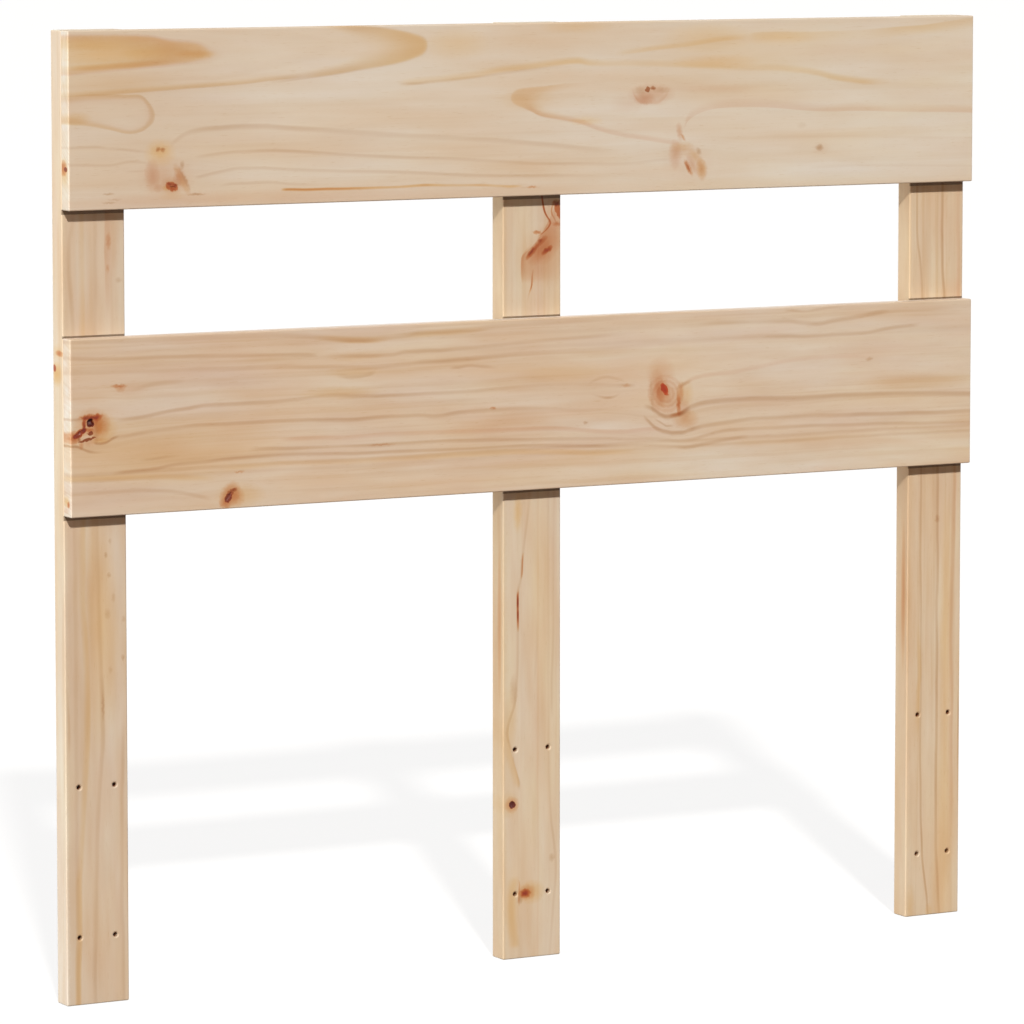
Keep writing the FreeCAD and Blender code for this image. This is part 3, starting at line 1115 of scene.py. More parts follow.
def top_plank_pine() -> PlanedPine:
    """Gives the top plank's wood: two arches at the left, one that opens to the right, and pinkish knots.

    Returns:
        The plank's finish.
    """
    tan, orange, rose = Tone.TAN, Tone.ORANGE, Tone.ROSE
    left_arch = Cathedral(
        pith=(
            (-545, 66.5, 25.4), (-500, 67.5, 26.8), (-455, 68, 28.3), (-430, 66.8, 29.9), (-400, 67, 31.0),
            (-382, 64.5, 32.3), (-350, 66, 34.7), (-300, 68.5, 38), (-250, 69, 41.4), (-215, 68.5, 44.7),
            (-190, 68.7, 46.1), (-150, 69, 48.8), (-137, 69.5, 50), (-130, 70, 51.4), (-100, 70, 55),
            (0, 68, 62), (545, 68, 80),
        ),
        rings=(
            Ring(rose, 32, 4, 1.5, ((-545, 0.5), (-500, 0.4), (-450, 0.6), (-400, 0.4), (-375, 0.2))),
            Ring(orange, 31, 15, 1.5, ((-545, 0.3), (-500, 0.35), (-460, 0.6), (-400, 0.65), (-375, 0.6))),
            Ring(tan, 50, 4, 1.2, ((-320, 0.0), (-285, 0.8), (-250, 0.8), (-200, 0.5), (-150, 0.2))),
            Ring(
                orange, 49.5, 4.5, 1.2,
                ((-280, 0.0), (-260, 0.3), (-200, 0.45), (-165, 0.7), (-130, 0.85)),
            ),
            Ring(tan, 41, 3, 1.5, ((-545, 0.1), (-300, 0.15), (-240, 0.1))),
        ),
    )
    lobe = Cathedral(
        pith=(
            (-545, 11, 15.2), (-520, 10, 13), (-500, 8, 10.5), (-475, 5, 6), (-465, 5.5, 8.7),
            (-456, 4.5, 16), (-449, 3, 20.5), (-440, 3, 26), (-420, 3, 45), (-380, 3, 90),
        ),
        rings=(
            Ring(tan, 20, 4.5, 1.3, ((-545, 0.25), (-500, 0.3), (-475, 0.45), (-460, 0.55), (-445, 0.55))),
            Ring(orange, 20, 4, 1.3, ((-545, 0.3), (-500, 0.3), (-475, 0.25), (-445, 0.15))),
            Ring(rose, 19, 8, 1.3, ((-545, 0.3), (-475, 0.15), (-445, 0.3))),
        ),
    )
    right_arch = Cathedral(
        pith=(
            (-120, 13, 60), (-60, 13, 47), (-37, 13, 40.7), (-30, 13, 39.7), (-15, 11.5, 38.6),
            (0, 8.5, 37.3), (25, 7, 35.7), (50, 5, 34), (75, 1.5, 30.8), (100, -1, 27.5),
        ),
        rings=(
            Ring(rose, 39.8, 2.5, 0.8, ((-35, 0.25), (-10, 0.3), (15, 0.25), (50, 0.1), (75, 0.0))),
            Ring(orange, 39.8, 2.5, 0.8, ((-35, 0.3), (0, 0.3), (30, 0.15), (60, 0.0))),
        ),
    )
    lines = (
        GrainLine(
            orange,
            ((-545, 53, 0.2), (-530, 53, 0.6), (-500, 54, 0.7), (-475, 55, 0.6), (-430, 58, 0)),
            3.5, 4,
        ),
        GrainLine(
            tan,
            (
                (-545, 25, 0.3), (-500, 26, 0.3), (-450, 28, 0.3), (-420, 30, 0.4), (-400, 31, 0.5),
                (-385, 32, 0.4), (-350, 34, 0.45), (-315, 37, 0.5), (-280, 40, 0),
            ),
            1.4, 4,
        ),
        GrainLine(
            orange,
            (
                (-545, 26, 0.3), (-510, 26.5, 0.4), (-450, 29, 0.35), (-400, 32, 0.4), (-350, 35, 0.3),
                (-300, 38.5, 0.2), (-270, 41, 0),
            ),
            2, 5,
        ),
        GrainLine(
            tan,
            ((-545, -27, 0.5), (-515, -27, 0.6), (-500, -29, 0.3), (-480, -31, 0.6), (-450, -35, 0)),
        ),
        GrainLine(tan, ((-545, -44, 0.4), (-500, -46, 0.5), (-475, -43, 0.5), (-450, -47, 0))),
        GrainLine(tan, ((-485, -53, 0), (-472, -53, 0.4), (-455, -53, 0)), 1.5, 1.5),
        GrainLine(
            tan,
            (
                (-434, -29, 0), (-425, -22, 0.4), (-415, -16, 0.5), (-400, -12, 0.7), (-375, -10, 1.0),
                (-350, -9, 0.9), (-325, -10, 0.8), (-300, -12, 0.9), (-250, -16, 0.6), (-200, -20, 0.5),
                (-150, -24, 0.45), (-100, -27, 0.45), (-50, -31, 0.55), (-10, -35, 0.6), (25, -39, 0.6),
                (60, -43, 0.4), (100, -47, 0),
            ),
            4.5, 3,
        ),
        GrainLine(
            tan,
            (
                (-405, -40, 0), (-390, -38, 0.5), (-350, -35, 0.6), (-300, -36, 0.8), (-275, -38, 0.7),
                (-225, -42, 0.55), (-180, -45, 0.6), (-150, -47, 0.6), (-100, -49, 0.5), (-50, -53, 0.4),
                (0, -57, 0.45), (25, -58, 0.6), (60, -59, 0.4), (100, -60, 0.3), (150, -57, 0.4),
                (165, -56, 0),
            ),
            3, 2,
        ),
        GrainLine(
            tan,
            (
                (-405, -61, 0), (-395, -59, 0.6), (-375, -55, 0.6), (-350, -52, 0.5), (-300, -55, 0.6),
                (-250, -58, 0.5), (-200, -60, 0.6), (-175, -61, 0.7), (-125, -64, 0.6), (-75, -67, 0.6),
                (-25, -69, 0.6), (10, -70, 0.5), (60, -72, 0.2), (100, -73, 0),
            ),
            3, 2,
        ),
        GrainLine(
            tan,
            ((-378, -70, 0), (-360, -68, 0.5), (-325, -68, 0.45), (-290, -71, 0.4), (-250, -73, 0)),
        ),
        GrainLine(
            orange,
            (
                (-306, -76, 0), (-300, -76, 0.9), (-275, -77, 1.0), (-225, -77, 0.9), (-175, -77, 0.6),
                (-140, -76, 0.8), (-100, -77, 0.4), (-70, -77.5, 0.5), (-50, -79, 0.5), (-35, -80, 0.7),
                (-20, -80, 0),
            ),
            2.2, 1.8,
        ),
        GrainLine(
            Tone.RED,
            (
                (-306, -76, 0), (-298, -76, 0.28), (-270, -77, 0.3), (-240, -77, 0.24), (-200, -77, 0.08),
                (-148, -76.5, 0.06), (-139, -76, 0.14), (-128, -76.5, 0.05), (-90, -77, 0.03),
                (-72, -77.5, 0.12), (-58, -78.5, 0),
            ),
            1.9, 1.6,
        ),
        GrainLine(
            orange,
            (
                (-170, 30, 0), (-150, 31, 0.3), (-125, 33, 0.25), (-100, 35, 0.35), (-75, 38, 0.35),
                (-50, 42, 0.45), (-25, 44, 0.5), (0, 46, 0.5), (25, 48, 0.6), (45, 49, 0.65),
                (60, 47, 0.45), (100, 46, 0.25), (150, 44, 0.3), (200, 42, 0.3), (250, 39, 0.25),
                (300, 37, 0.3), (340, 32, 0.4), (365, 26, 0.5), (400, 21, 0.5), (420, 20, 0.2),
                (440, 20, 0),
            ),
            3.5, 6,
        ),
        GrainLine(
            tan,
            ((-170, 30, 0), (-150, 30, 0.8), (-125, 32, 0.4), (-75, 36, 0.5), (0, 43, 0.3), (60, 45, 0)),
        ),
        GrainLine(
            orange,
            ((90, 57, 0), (110, 58, 0.25), (150, 62, 0.4), (175, 64, 0.3), (225, 70, 0.3), (260, 72, 0)),
            2.5, 5,
        ),
        GrainLine(
            orange,
            (
                (256, 75, 0), (266, 76, 0.25), (300, 76, 0.3), (350, 75.5, 0.22), (400, 76, 0.18),
                (430, 78, 0.3), (445, 79, 0.4), (475, 80.5, 0.4), (500, 83, 0.35), (545, 88, 0.25),
            ),
            11, 1.8,
        ),
        GrainLine(
            rose,
            (
                (-20, 2, 0), (-10, -1, 0.45), (0, -6, 0.5), (25, -11, 0.5), (50, -16, 0.6), (75, -24, 0.5),
                (100, -30, 0.5), (125, -34, 0.5), (150, -38, 0.5), (165, -40, 0.35), (175, -41, 0),
            ),
            2.4, 5,
        ),
        GrainLine(
            orange,
            ((340, -8, 0), (400, -9, 0.08), (450, -11, 0.1), (500, -12, 0.1), (545, -14, 0.15)),
            1.5, 12,
        ),
        GrainLine(tan, ((330, -70, 0), (360, -70, 0.2), (450, -71, 0.2), (545, -74, 0.25)), 2, 2),
        GrainLine(tan, ((280, -36, 0), (350, -37, 0.15), (450, -40, 0.15), (545, -43, 0.15)), 2, 2),
        GrainLine(
            rose,
            (
                (176, -26, 0), (180, -17, 0.5), (190, -10, 0.35), (205, -5, 0.35), (225, -2.5, 0.5),
                (250, -2, 0.5), (300, -5, 0.55), (350, -9, 0.5), (400, -10, 0.45), (450, -12, 0.35),
                (500, -13, 0.4), (545, -15, 0.5),
            ),
            1.2, 9,
        ),
        GrainLine(
            rose,
            ((111, 21, 0), (115, 11, 0.5), (123, 4, 0.6), (140, 3.5, 0.5), (152, 9, 0.4), (159, 20, 0)),
            2, 4,
        ),
    )
    marks = (
        Mark(orange, (-505, 78), (42, 7), 0.6),
        Mark(Tone.HONEY, (-510, 66), (48, 10), 1.4),
        Mark(orange, (-500, 37), (65, 13), 0.22),
        Mark(orange, (-535, 78), (25, 7), 0.3),
        Mark(orange, (-447, 67), (34, 8), 0.5),
        Mark(orange, (-402, 65), (20, 4), 0.6),
        Mark(orange, (-538, 2), (16, 6), 0.5),
        Mark(Tone.HONEY, (-100, 71), (32, 14), 0.8),
        Mark(rose, (-20, 12), (22, 9), 0.1),
        Mark(orange, (-15, 12), (28, 10), 0.2),
        Mark(Tone.HONEY, (55, -14), (18, 4), 1.0),
        Mark(rose, (420, 0), (250, 110), -0.2),
        Mark(tan, (-460, 0), (120, 110), 0.45),
        # Painted shade: its top face is painted darker.
        Mark(Tone.STRAW, (0, 93), (700, 4), 1.7, depth=(10, 8)),
        # Painted light: the sawn end is painted paler than the arches that run into it.
        Mark(orange, (-545, 66), (1.6, 24), -0.42, depth=(10, 12)),
        Mark(Tone.HONEY, (-545, 66), (1.6, 18), -0.35, depth=(10, 12)),
        Mark(orange, (-545, 24), (1.6, 9), -0.2, depth=(10, 12)),
        Mark(orange, (-545, 0), (1.6, 9), -0.3, depth=(10, 12)),
        Mark(orange, (45, 86), (38, 6), 0.35),
        Mark(Tone.HONEY, (205, 73), (46, 14), 0.5),
        Mark(orange, (205, 73), (46, 14), 0.1),
        Mark(Tone.HONEY, (298, 71), (36, 8), 0.6),
        Mark(Tone.HONEY, (215, 46), (46, 7), 0.9),
        Mark(Tone.HONEY, (260, 60), (110, 26), 0.4),
        Mark(rose, (270, 7), (92, 13), 0.22),
        Mark(Tone.HONEY, (270, 9), (92, 12), 0.3),
        Mark(rose, (215, 18), (60, 4), 0.25),
        Mark(rose, (-420, -83), (70, 9), 0.4),
        Mark(rose, (-260, -86), (330, 9), 0.45),
        Mark(orange, (-280, -84), (330, 8), 0.04),
        Mark(orange, (300, -86), (260, 8), 0.12),
        # A pair of brown specks in a yellow patch.
        Mark(Tone.HONEY, (-443, -35), (15, 12), 1.5),
        Mark(orange, (-443, -33), (10, 6), 0.35),
        Mark(Tone.UMBER, (-445.2, -31.5), (2.6, 2.4), 0.33),
        Mark(Tone.UMBER, (-440, -32), (2.6, 2.2), 0.33),
        # The ragged knot by the lower edge, with a band on either side of it.
        Mark(rose, (-437, -60), (27, 18), 0.5),
        Mark(rose, (-441, -60), (9, 11), 0.3),
        Mark(Tone.RED, (-430, -69.5), (7.2, 4.4), 0.9, -14, Edge.CRISP),
        Mark(Tone.RED, (-430, -69), (11, 8), 0.22),
        Mark(orange, (-436, -71), (4, 3), 0.8),
        Mark(orange, (-430, -79), (13, 4), 0.2),
        Mark(Tone.UMBER, (-432.5, -67), (3.8, 1.3), 0.4, -16),
        Mark(Tone.UMBER, (-426, -68), (2.8, 1.5), 0.45, 10),
        Mark(Tone.RED, (-428, -73), (4, 2.2), 0.35),
        Mark(rose, (-452, -58), (7.5, 14), 1.25),
        Mark(rose, (-423.5, -62), (4.5, 9), 0.9, -12),
        Mark(orange, (-418.5, -62.5), (14.5, 3.8), 0.5, -62),
        Mark(rose, (-418, -62.5), (15.5, 5), 1.0, -62),
        Mark(tan, (-416, -61), (12, 1.8), 1.2, -62),
        Mark(tan, (-418, -48), (2.6, 4.0), 1.6),
        Mark(rose, (-445, -71), (5, 4), 0.9),
        Mark(tan, (-501, -75), (6, 1.3), 1.6),
        Mark(tan, (-500, -84), (7, 1.1), 1.3),
        Mark(tan, (-494, -81), (7, 0.9), 0.8),
        Mark(tan, (-402, -78), (9, 1.3), 2.0),
        Mark(Tone.RED, (-10, -81.5), (5.5, 1.3), 0.45),
        # The pair of small brown knots with a bowl of darker wood under them.
        Mark(rose, (127, 8), (11, 6), 1.3),
        Mark(rose, (136, 13), (24, 10), 1.1),
        Mark(rose, (108, 4), (20, 10), 0.35),
        Mark(tan, (122, 17), (7, 4), 0.9),
        Mark(tan, (148, 17), (9, 3.2), 0.9),
        Mark(Tone.UMBER, (131, 18), (3.2, 2.8), 0.52, edge=Edge.CRISP),
        Mark(Tone.UMBER, (137.5, 19.3), (3.2, 1.7), 0.55),
        # The slanted knot right of the middle, with a band on either side of it.
        Mark(rose, (180, -62), (27, 20), 0.35),
        Mark(Tone.RED, (181.5, -66.5), (8.4, 2.7), 0.7, -60),
        Mark(Tone.UMBER, (181, -66), (6.5, 1.6), 0.22, -60),
        Mark(rose, (186, -63), (11, 3.5), 1.0, -60),
        Mark(rose, (165, -52), (7, 14), 1.1),
        Mark(orange, (173, -44), (13, 4.5), 0.35),
        Mark(rose, (174, -46), (14, 6), 0.5),
        Mark(orange, (190, -55), (9, 5), 0.35, -50),
        Mark(rose, (190, -56), (10, 6), 0.5, -50),
        Mark(orange, (198, -68), (5.5, 10), 0.75, 8),
        Mark(rose, (198, -69), (6, 10), 1.1, 8),
        Mark(rose, (170.5, -28), (3.5, 9), 1.2, 8),
        Mark(Tone.RED, (175, -34), (4.5, 1.5), 0.42, -56),
        Mark(tan, (194.5, -49), (3.8, 2.8), 1.8, -70),
        Mark(tan, (346.5, -49), (4.6, 3.2), 2.3),
        Mark(rose, (349, -50), (10, 6), 0.3),
        Mark(tan, (324, -24), (6, 3), 0.4),
        Mark(Tone.UMBER, (-545, -49), (3, 3), 0.8, edge=Edge.CRISP, depth=(7, 4)),
        Mark(Tone.RED, (-545, -48), (4, 7), 0.9, depth=(13, 8)),
        Mark(orange, (-545, -52), (5, 13), 0.8, depth=(11, 8)),
    )
    return PlanedPine(
        name="Planed pine, top plank",
        ground="#D5C6B2",
        pith=(60.0, 70.0),
        seed=3.7,
        lines=lines,
        cathedrals=(left_arch, lobe, right_arch),
        marks=marks,
        swirls=(
            Swirl((-431, -66), (60, 26), 0.75),
            Swirl((181, -64), (60, 26), 0.75),
            Swirl((134, 14), (40, 14), 0.6),
        ),
        band_strength=0.2,
        drifts=(
            Drift(Tone.HONEY, (0.005, 0.035, 0.035), 1.1),
            Drift(Tone.ROSE, (0.006, 0.035, 0.035), 0.8),
            Drift(Tone.STRAW, (0.013, 0.085, 0.085), 0.7),
        ),
    )


def lower_plank_pine() -> PlanedPine:
    """Gives the lower plank's wood: close straight lines, an open knot and a red one with bowls under it.

    Returns:
        The plank's finish.
    """
    tan, orange, rose, red = Tone.TAN, Tone.ORANGE, Tone.ROSE, Tone.RED
    lines = (
        GrainLine(
            tan,
            (
                (-545, 88, 0.6), (-450, 86, 0.4), (-350, 85, 0.5), (-300, 84, 0.6), (-270, 82, 0.6),
                (-245, 79, 0.8), (-225, 77, 1.0), (-205, 76, 0.9), (-190, 77, 0.6), (-165, 79, 0.7),
                (-140, 81, 0.9), (-100, 81, 0.8), (-50, 84, 0.6), (0, 85, 0.5), (50, 86, 0.5), (100, 87, 0),
            ),
            2.0, 3.5,
        ),
        GrainLine(
            orange,
            (
                (-270, 82, 0), (-245, 79, 0.3), (-222, 77, 0.5), (-200, 76, 0.4), (-175, 78, 0.1),
                (-135, 80, 0.4), (-90, 81, 0.3), (-60, 83, 0),
            ),
            3, 4,
        ),
        GrainLine(
            tan,
            (
                (-545, 72, 0.7), (-500, 70, 0.8), (-450, 69, 0.8), (-400, 67.5, 0.9), (-350, 66, 0.8),
                (-310, 65, 0.9), (-275, 64, 0.9), (-262, 63, 0),
            ),
        ),
        GrainLine(
            tan,
            (
                (-255, 62, 0), (-225, 61, 0.7), (-200, 60, 0.9), (-180, 60, 0.5), (-160, 63, 0.8),
                (-135, 63, 1.0), (-120, 62.5, 1.0), (-100, 63, 0.7), (-50, 65, 0.6), (0, 67, 0.5),
                (50, 69, 0.6), (120, 71, 0),
            ),
        ),
        GrainLine(
            tan,
            (
                (-545, 57, 0.6), (-500, 56.5, 0.5), (-450, 55, 0.4), (-390, 54, 0.5), (-350, 53, 0.6),
                (-310, 53, 0.4), (-275, 51, 0.5), (-240, 50, 0.6), (-200, 48, 0.6), (-160, 50, 0.6),
                (-140, 51, 0.9), (-115, 51, 0.9), (-60, 53, 0.8), (0, 54.5, 0.5), (50, 55, 0.4),
                (100, 56, 0.3), (175, 59, 0.3),
            ),
            2.5, 2.5,
        ),
        GrainLine(tan, ((-245, 42, 0), (-225, 38.5, 0.7), (-205, 40, 0.7), (-195, 43, 0)), 1.5, 3),
        GrainLine(
            tan,
            ((-110, 43, 0), (-100, 43, 1.0), (-85, 44.5, 0.7), (-70, 43, 0.8), (-50, 41, 0)),
            1.5, 2,
        ),
        GrainLine(
            tan,
            (
                (-496, 6.5, 0), (-480, 8, 0.8), (-465, 9, 1.0), (-450, 11, 1.1), (-425, 14, 1.2),
                (-412, 15, 1.2), (-390, 17, 0.9), (-350, 17, 1.1), (-320, 17, 0.8), (-290, 18.5, 0.8),
                (-250, 21, 0.6), (-220, 19.5, 0.8), (-185, 18, 1.0), (-150, 18, 0.8), (-100, 17.5, 0.7),
                (-50, 19, 0.6), (0, 20, 0.4), (60, 19, 0.3), (90, 16, 0.4), (105, 15, 0.9), (118, 14, 0),
            ),
            2.4, 1.8,
        ),
        GrainLine(
            tan,
            (
                (-505, -11, 0), (-490, -10, 0.5), (-465, -7, 0.8), (-435, -5, 0.7), (-400, -3, 0.9),
                (-350, -3, 1.0), (-300, -3, 1.0), (-250, -4, 1.2), (-220, -5, 1.1), (-190, -4, 1.0),
                (-150, -4, 0.9), (-125, -6, 0.9), (-100, -4, 1.2), (-75, -3, 0.9), (-40, -3, 0.8),
                (-10, -4, 0.5), (50, -8, 0.3), (100, -10, 0),
            ),
            2.8, 1.8,
        ),
        GrainLine(
            rose,
            (
                (-310, -22, 0), (-290, -22, 0.6), (-265, -22, 0.65), (-235, -23, 0.4), (-180, -22, 0.45),
                (-125, -23, 0.5), (-80, -24, 0.55), (-30, -25, 0.6), (15, -26, 0.55), (50, -29, 0.55),
                (75, -32, 0.6), (105, -34, 0.55), (135, -33, 0.5), (150, -34, 0),
            ),
            3.0, 1.8,
        ),
        GrainLine(
            tan,
            (
                (-345, -31, 0), (-330, -31, 0.7), (-290, -32, 1.1), (-270, -32, 0.9), (-240, -32, 0.4),
                (-215, -33, 0.9), (-190, -33.5, 1.2), (-165, -33, 0.8), (-125, -33, 0.8), (-90, -34, 1.1),
                (-50, -35, 1.0), (-10, -37, 0.8), (25, -38, 0.7), (75, -40, 0.6), (110, -43, 0.6),
                (150, -45, 0.6), (175, -48, 0.5),
            ),
            2.4, 1.6,
        ),
        GrainLine(
            tan,
            (
                (-500, -47, 0), (-480, -46, 1.0), (-450, -45, 1.0), (-425, -42, 0.9), (-400, -41.5, 0.7),
                (-375, -40, 1.2), (-340, -39, 1.2), (-300, -38.5, 0.8), (-250, -39.5, 1.0),
                (-200, -41, 1.2), (-170, -41, 1.1), (-125, -42, 0.8), (-90, -43, 0.9), (-50, -43, 0.8),
                (-30, -43, 1.0), (0, -44, 0.8), (40, -46, 0.8), (60, -47, 1.0), (85, -49, 0.6),
                (120, -50, 0.5), (150, -52, 0.5), (175, -54, 0.5),
            ),
            2.2, 1.6,
        ),
        GrainLine(tan, ((-470, -36, 0), (-450, -35, 0.7), (-435, -34, 0.4), (-420, -33, 0)), 1.5, 1.5),
        GrainLine(
            orange,
            ((-545, -51, 0.4), (-500, -52, 0.4), (-450, -54, 0.35), (-400, -58, 0.25), (-380, -60, 0)),
            3, 3,
        ),
        GrainLine(
            orange,
            (
                (-380, -50, 0), (-350, -49, 0.25), (-300, -48, 0.25), (-200, -49, 0.25), (-100, -49, 0.35),
                (-50, -49, 0.35), (0, -51, 0.4), (40, -53, 0.42), (70, -55, 0.36), (100, -56, 0.2),
                (120, -57, 0),
            ),
            3, 3,
        ),
        GrainLine(
            tan,
            (
                (-545, -66, 0.4), (-475, -66, 0.5), (-450, -68, 0.7), (-425, -71, 0.6), (-400, -77, 0.6),
                (-385, -81, 0),
            ),
        ),
        GrainLine(
            rose,
            (
                (170, 8, 0), (180, 15, 0.45), (195, 20, 0.45), (215, 22, 0.5), (240, 23, 0.4),
                (275, 28, 0.3), (300, 32, 0.4), (350, 34, 0.35), (385, 34, 0.3), (425, 30, 0),
            ),
            2.2, 3,
        ),
        GrainLine(
            tan,
            (
                (170, -20, 0), (176, -16, 1.1), (190, -10, 1.2), (210, -7, 1.3), (250, -6, 1.3),
                (300, -7, 1.3), (325, -8, 1.3), (375, -8, 1.2), (425, -9, 1.1), (475, -10, 1.1),
                (545, -13, 1.2),
            ),
            3.6, 2.4,
        ),
        GrainLine(
            tan,
            (
                (180, -38, 0), (190, -35, 0.9), (210, -32, 0.8), (235, -30, 1.0), (270, -28, 0.8),
                (310, -28, 0.8), (340, -28, 0.7), (375, -30, 0.8), (400, -30, 1.2), (430, -31, 1.0),
                (470, -31, 1.2), (500, -32, 1.1), (545, -32, 0.8),
            ),
            2.8, 2,
        ),
        GrainLine(
            tan,
            (
                (170, -47, 0.5), (190, -46, 0.8), (210, -42, 0.8), (235, -39, 0.9), (260, -39, 0.5),
                (300, -39, 0.6), (330, -39, 0.9), (380, -41, 0.8), (430, -41.5, 0.9), (480, -43, 0.7),
                (545, -45, 0.8),
            ),
            2.4, 1.8,
        ),
        GrainLine(
            tan,
            (
                (165, -54, 0.3), (180, -55, 1.0), (200, -53, 0.9), (225, -50, 0.8), (245, -48, 0.8),
                (260, -47, 0),
            ),
        ),
        GrainLine(
            orange,
            (
                (235, -55, 0), (260, -55, 0.15), (300, -55, 0.17), (350, -55, 0.15), (400, -56, 0.08),
                (450, -57, 0.0), (545, -58, 0.0),
            ),
            3, 5,
        ),
        GrainLine(
            tan,
            (
                (190, 76, 0.3), (225, 77, 0.9), (275, 76, 0.6), (305, 76, 0.8), (325, 73, 0.6),
                (345, 71, 1.0), (365, 73, 1.0), (395, 76, 0.8), (425, 80, 1.0), (440, 81, 0.4),
                (475, 82, 0.4), (525, 84, 0.3),
            ),
            2.2, 3,
        ),
        GrainLine(
            tan,
            (
                (275, 61, 0.3), (305, 60, 0.8), (340, 58, 0.6), (375, 58, 0.6), (410, 59, 0.7),
                (440, 63, 0.9), (465, 65, 0.8), (478, 66, 0),
            ),
        ),
        GrainLine(
            tan,
            ((300, 88, 0), (315, 87, 0.9), (330, 86, 0.4), (345, 87, 0.7), (365, 88, 0.6), (380, 88, 0)),
            1.5, 1.5,
        ),
        GrainLine(
            tan,
            (
                (126, -8, 0), (134, -10, 1.2), (140, -13, 1.7), (148, -18, 1.6), (156, -20.5, 1.5),
                (165, -19.5, 2.0), (173, -18, 2.0), (179, -15, 1.0), (186, -11, 0),
            ),
            3.0, 2.0,
        ),
        GrainLine(red, ((158, -20.5, 0), (164, -19.5, 0.3), (170, -18.5, 0.4), (177, -16, 0)), 2.2, 2.0),
        GrainLine(tan, ((139, -22, 0), (148, -27, 1.1), (157, -31, 1.1), (165, -31, 0)), 1.3, 1.3),
        GrainLine(
            tan,
            (
                (126, -19, 0), (132, -24, 1.2), (140, -31, 1.5), (148, -35, 1.5), (156, -37, 1.5),
                (165, -38.5, 1.6), (175, -38.5, 1.5), (184, -36, 1.1), (194, -34, 0.4), (200, -33, 0),
            ),
            2.8, 2.0,
        ),
        GrainLine(tan, ((58, 19, 0), (68, 23, 0.5), (80, 25, 0.6), (95, 22, 0.4), (108, 18, 0)), 1.5, 2),
        GrainLine(tan, ((60, 9, 0), (72, 5, 0.5), (83, 3, 1.4), (90, 3.5, 0.7), (99, 7, 0)), 1.5, 1.5),
        GrainLine(tan, ((-478, 37, 0), (-455, 41, 0.6), (-430, 42.5, 0.5), (-415, 43, 0)), 2.5, 2.5),
        GrainLine(
            tan,
            ((-520, -15, 0), (-513, -16, 1.8), (-505, -15, 1.8), (-498, -11.5, 1.7), (-490, -9, 0)),
            1.5, 1.5,
        ),
        GrainLine(
            tan,
            (
                (-545, -17.5, 2.2), (-538, -18, 2.2), (-533, -20, 1.2), (-526, -23, 1.6),
                (-518, -24.5, 0.8), (-508, -25, 0),
            ),
            1.5, 1.5,
        ),
        GrainLine(tan, ((-545, 9.5, 1.2), (-537, 9.5, 1.0), (-531, 9, 0)), 1.5, 1.5),
    )
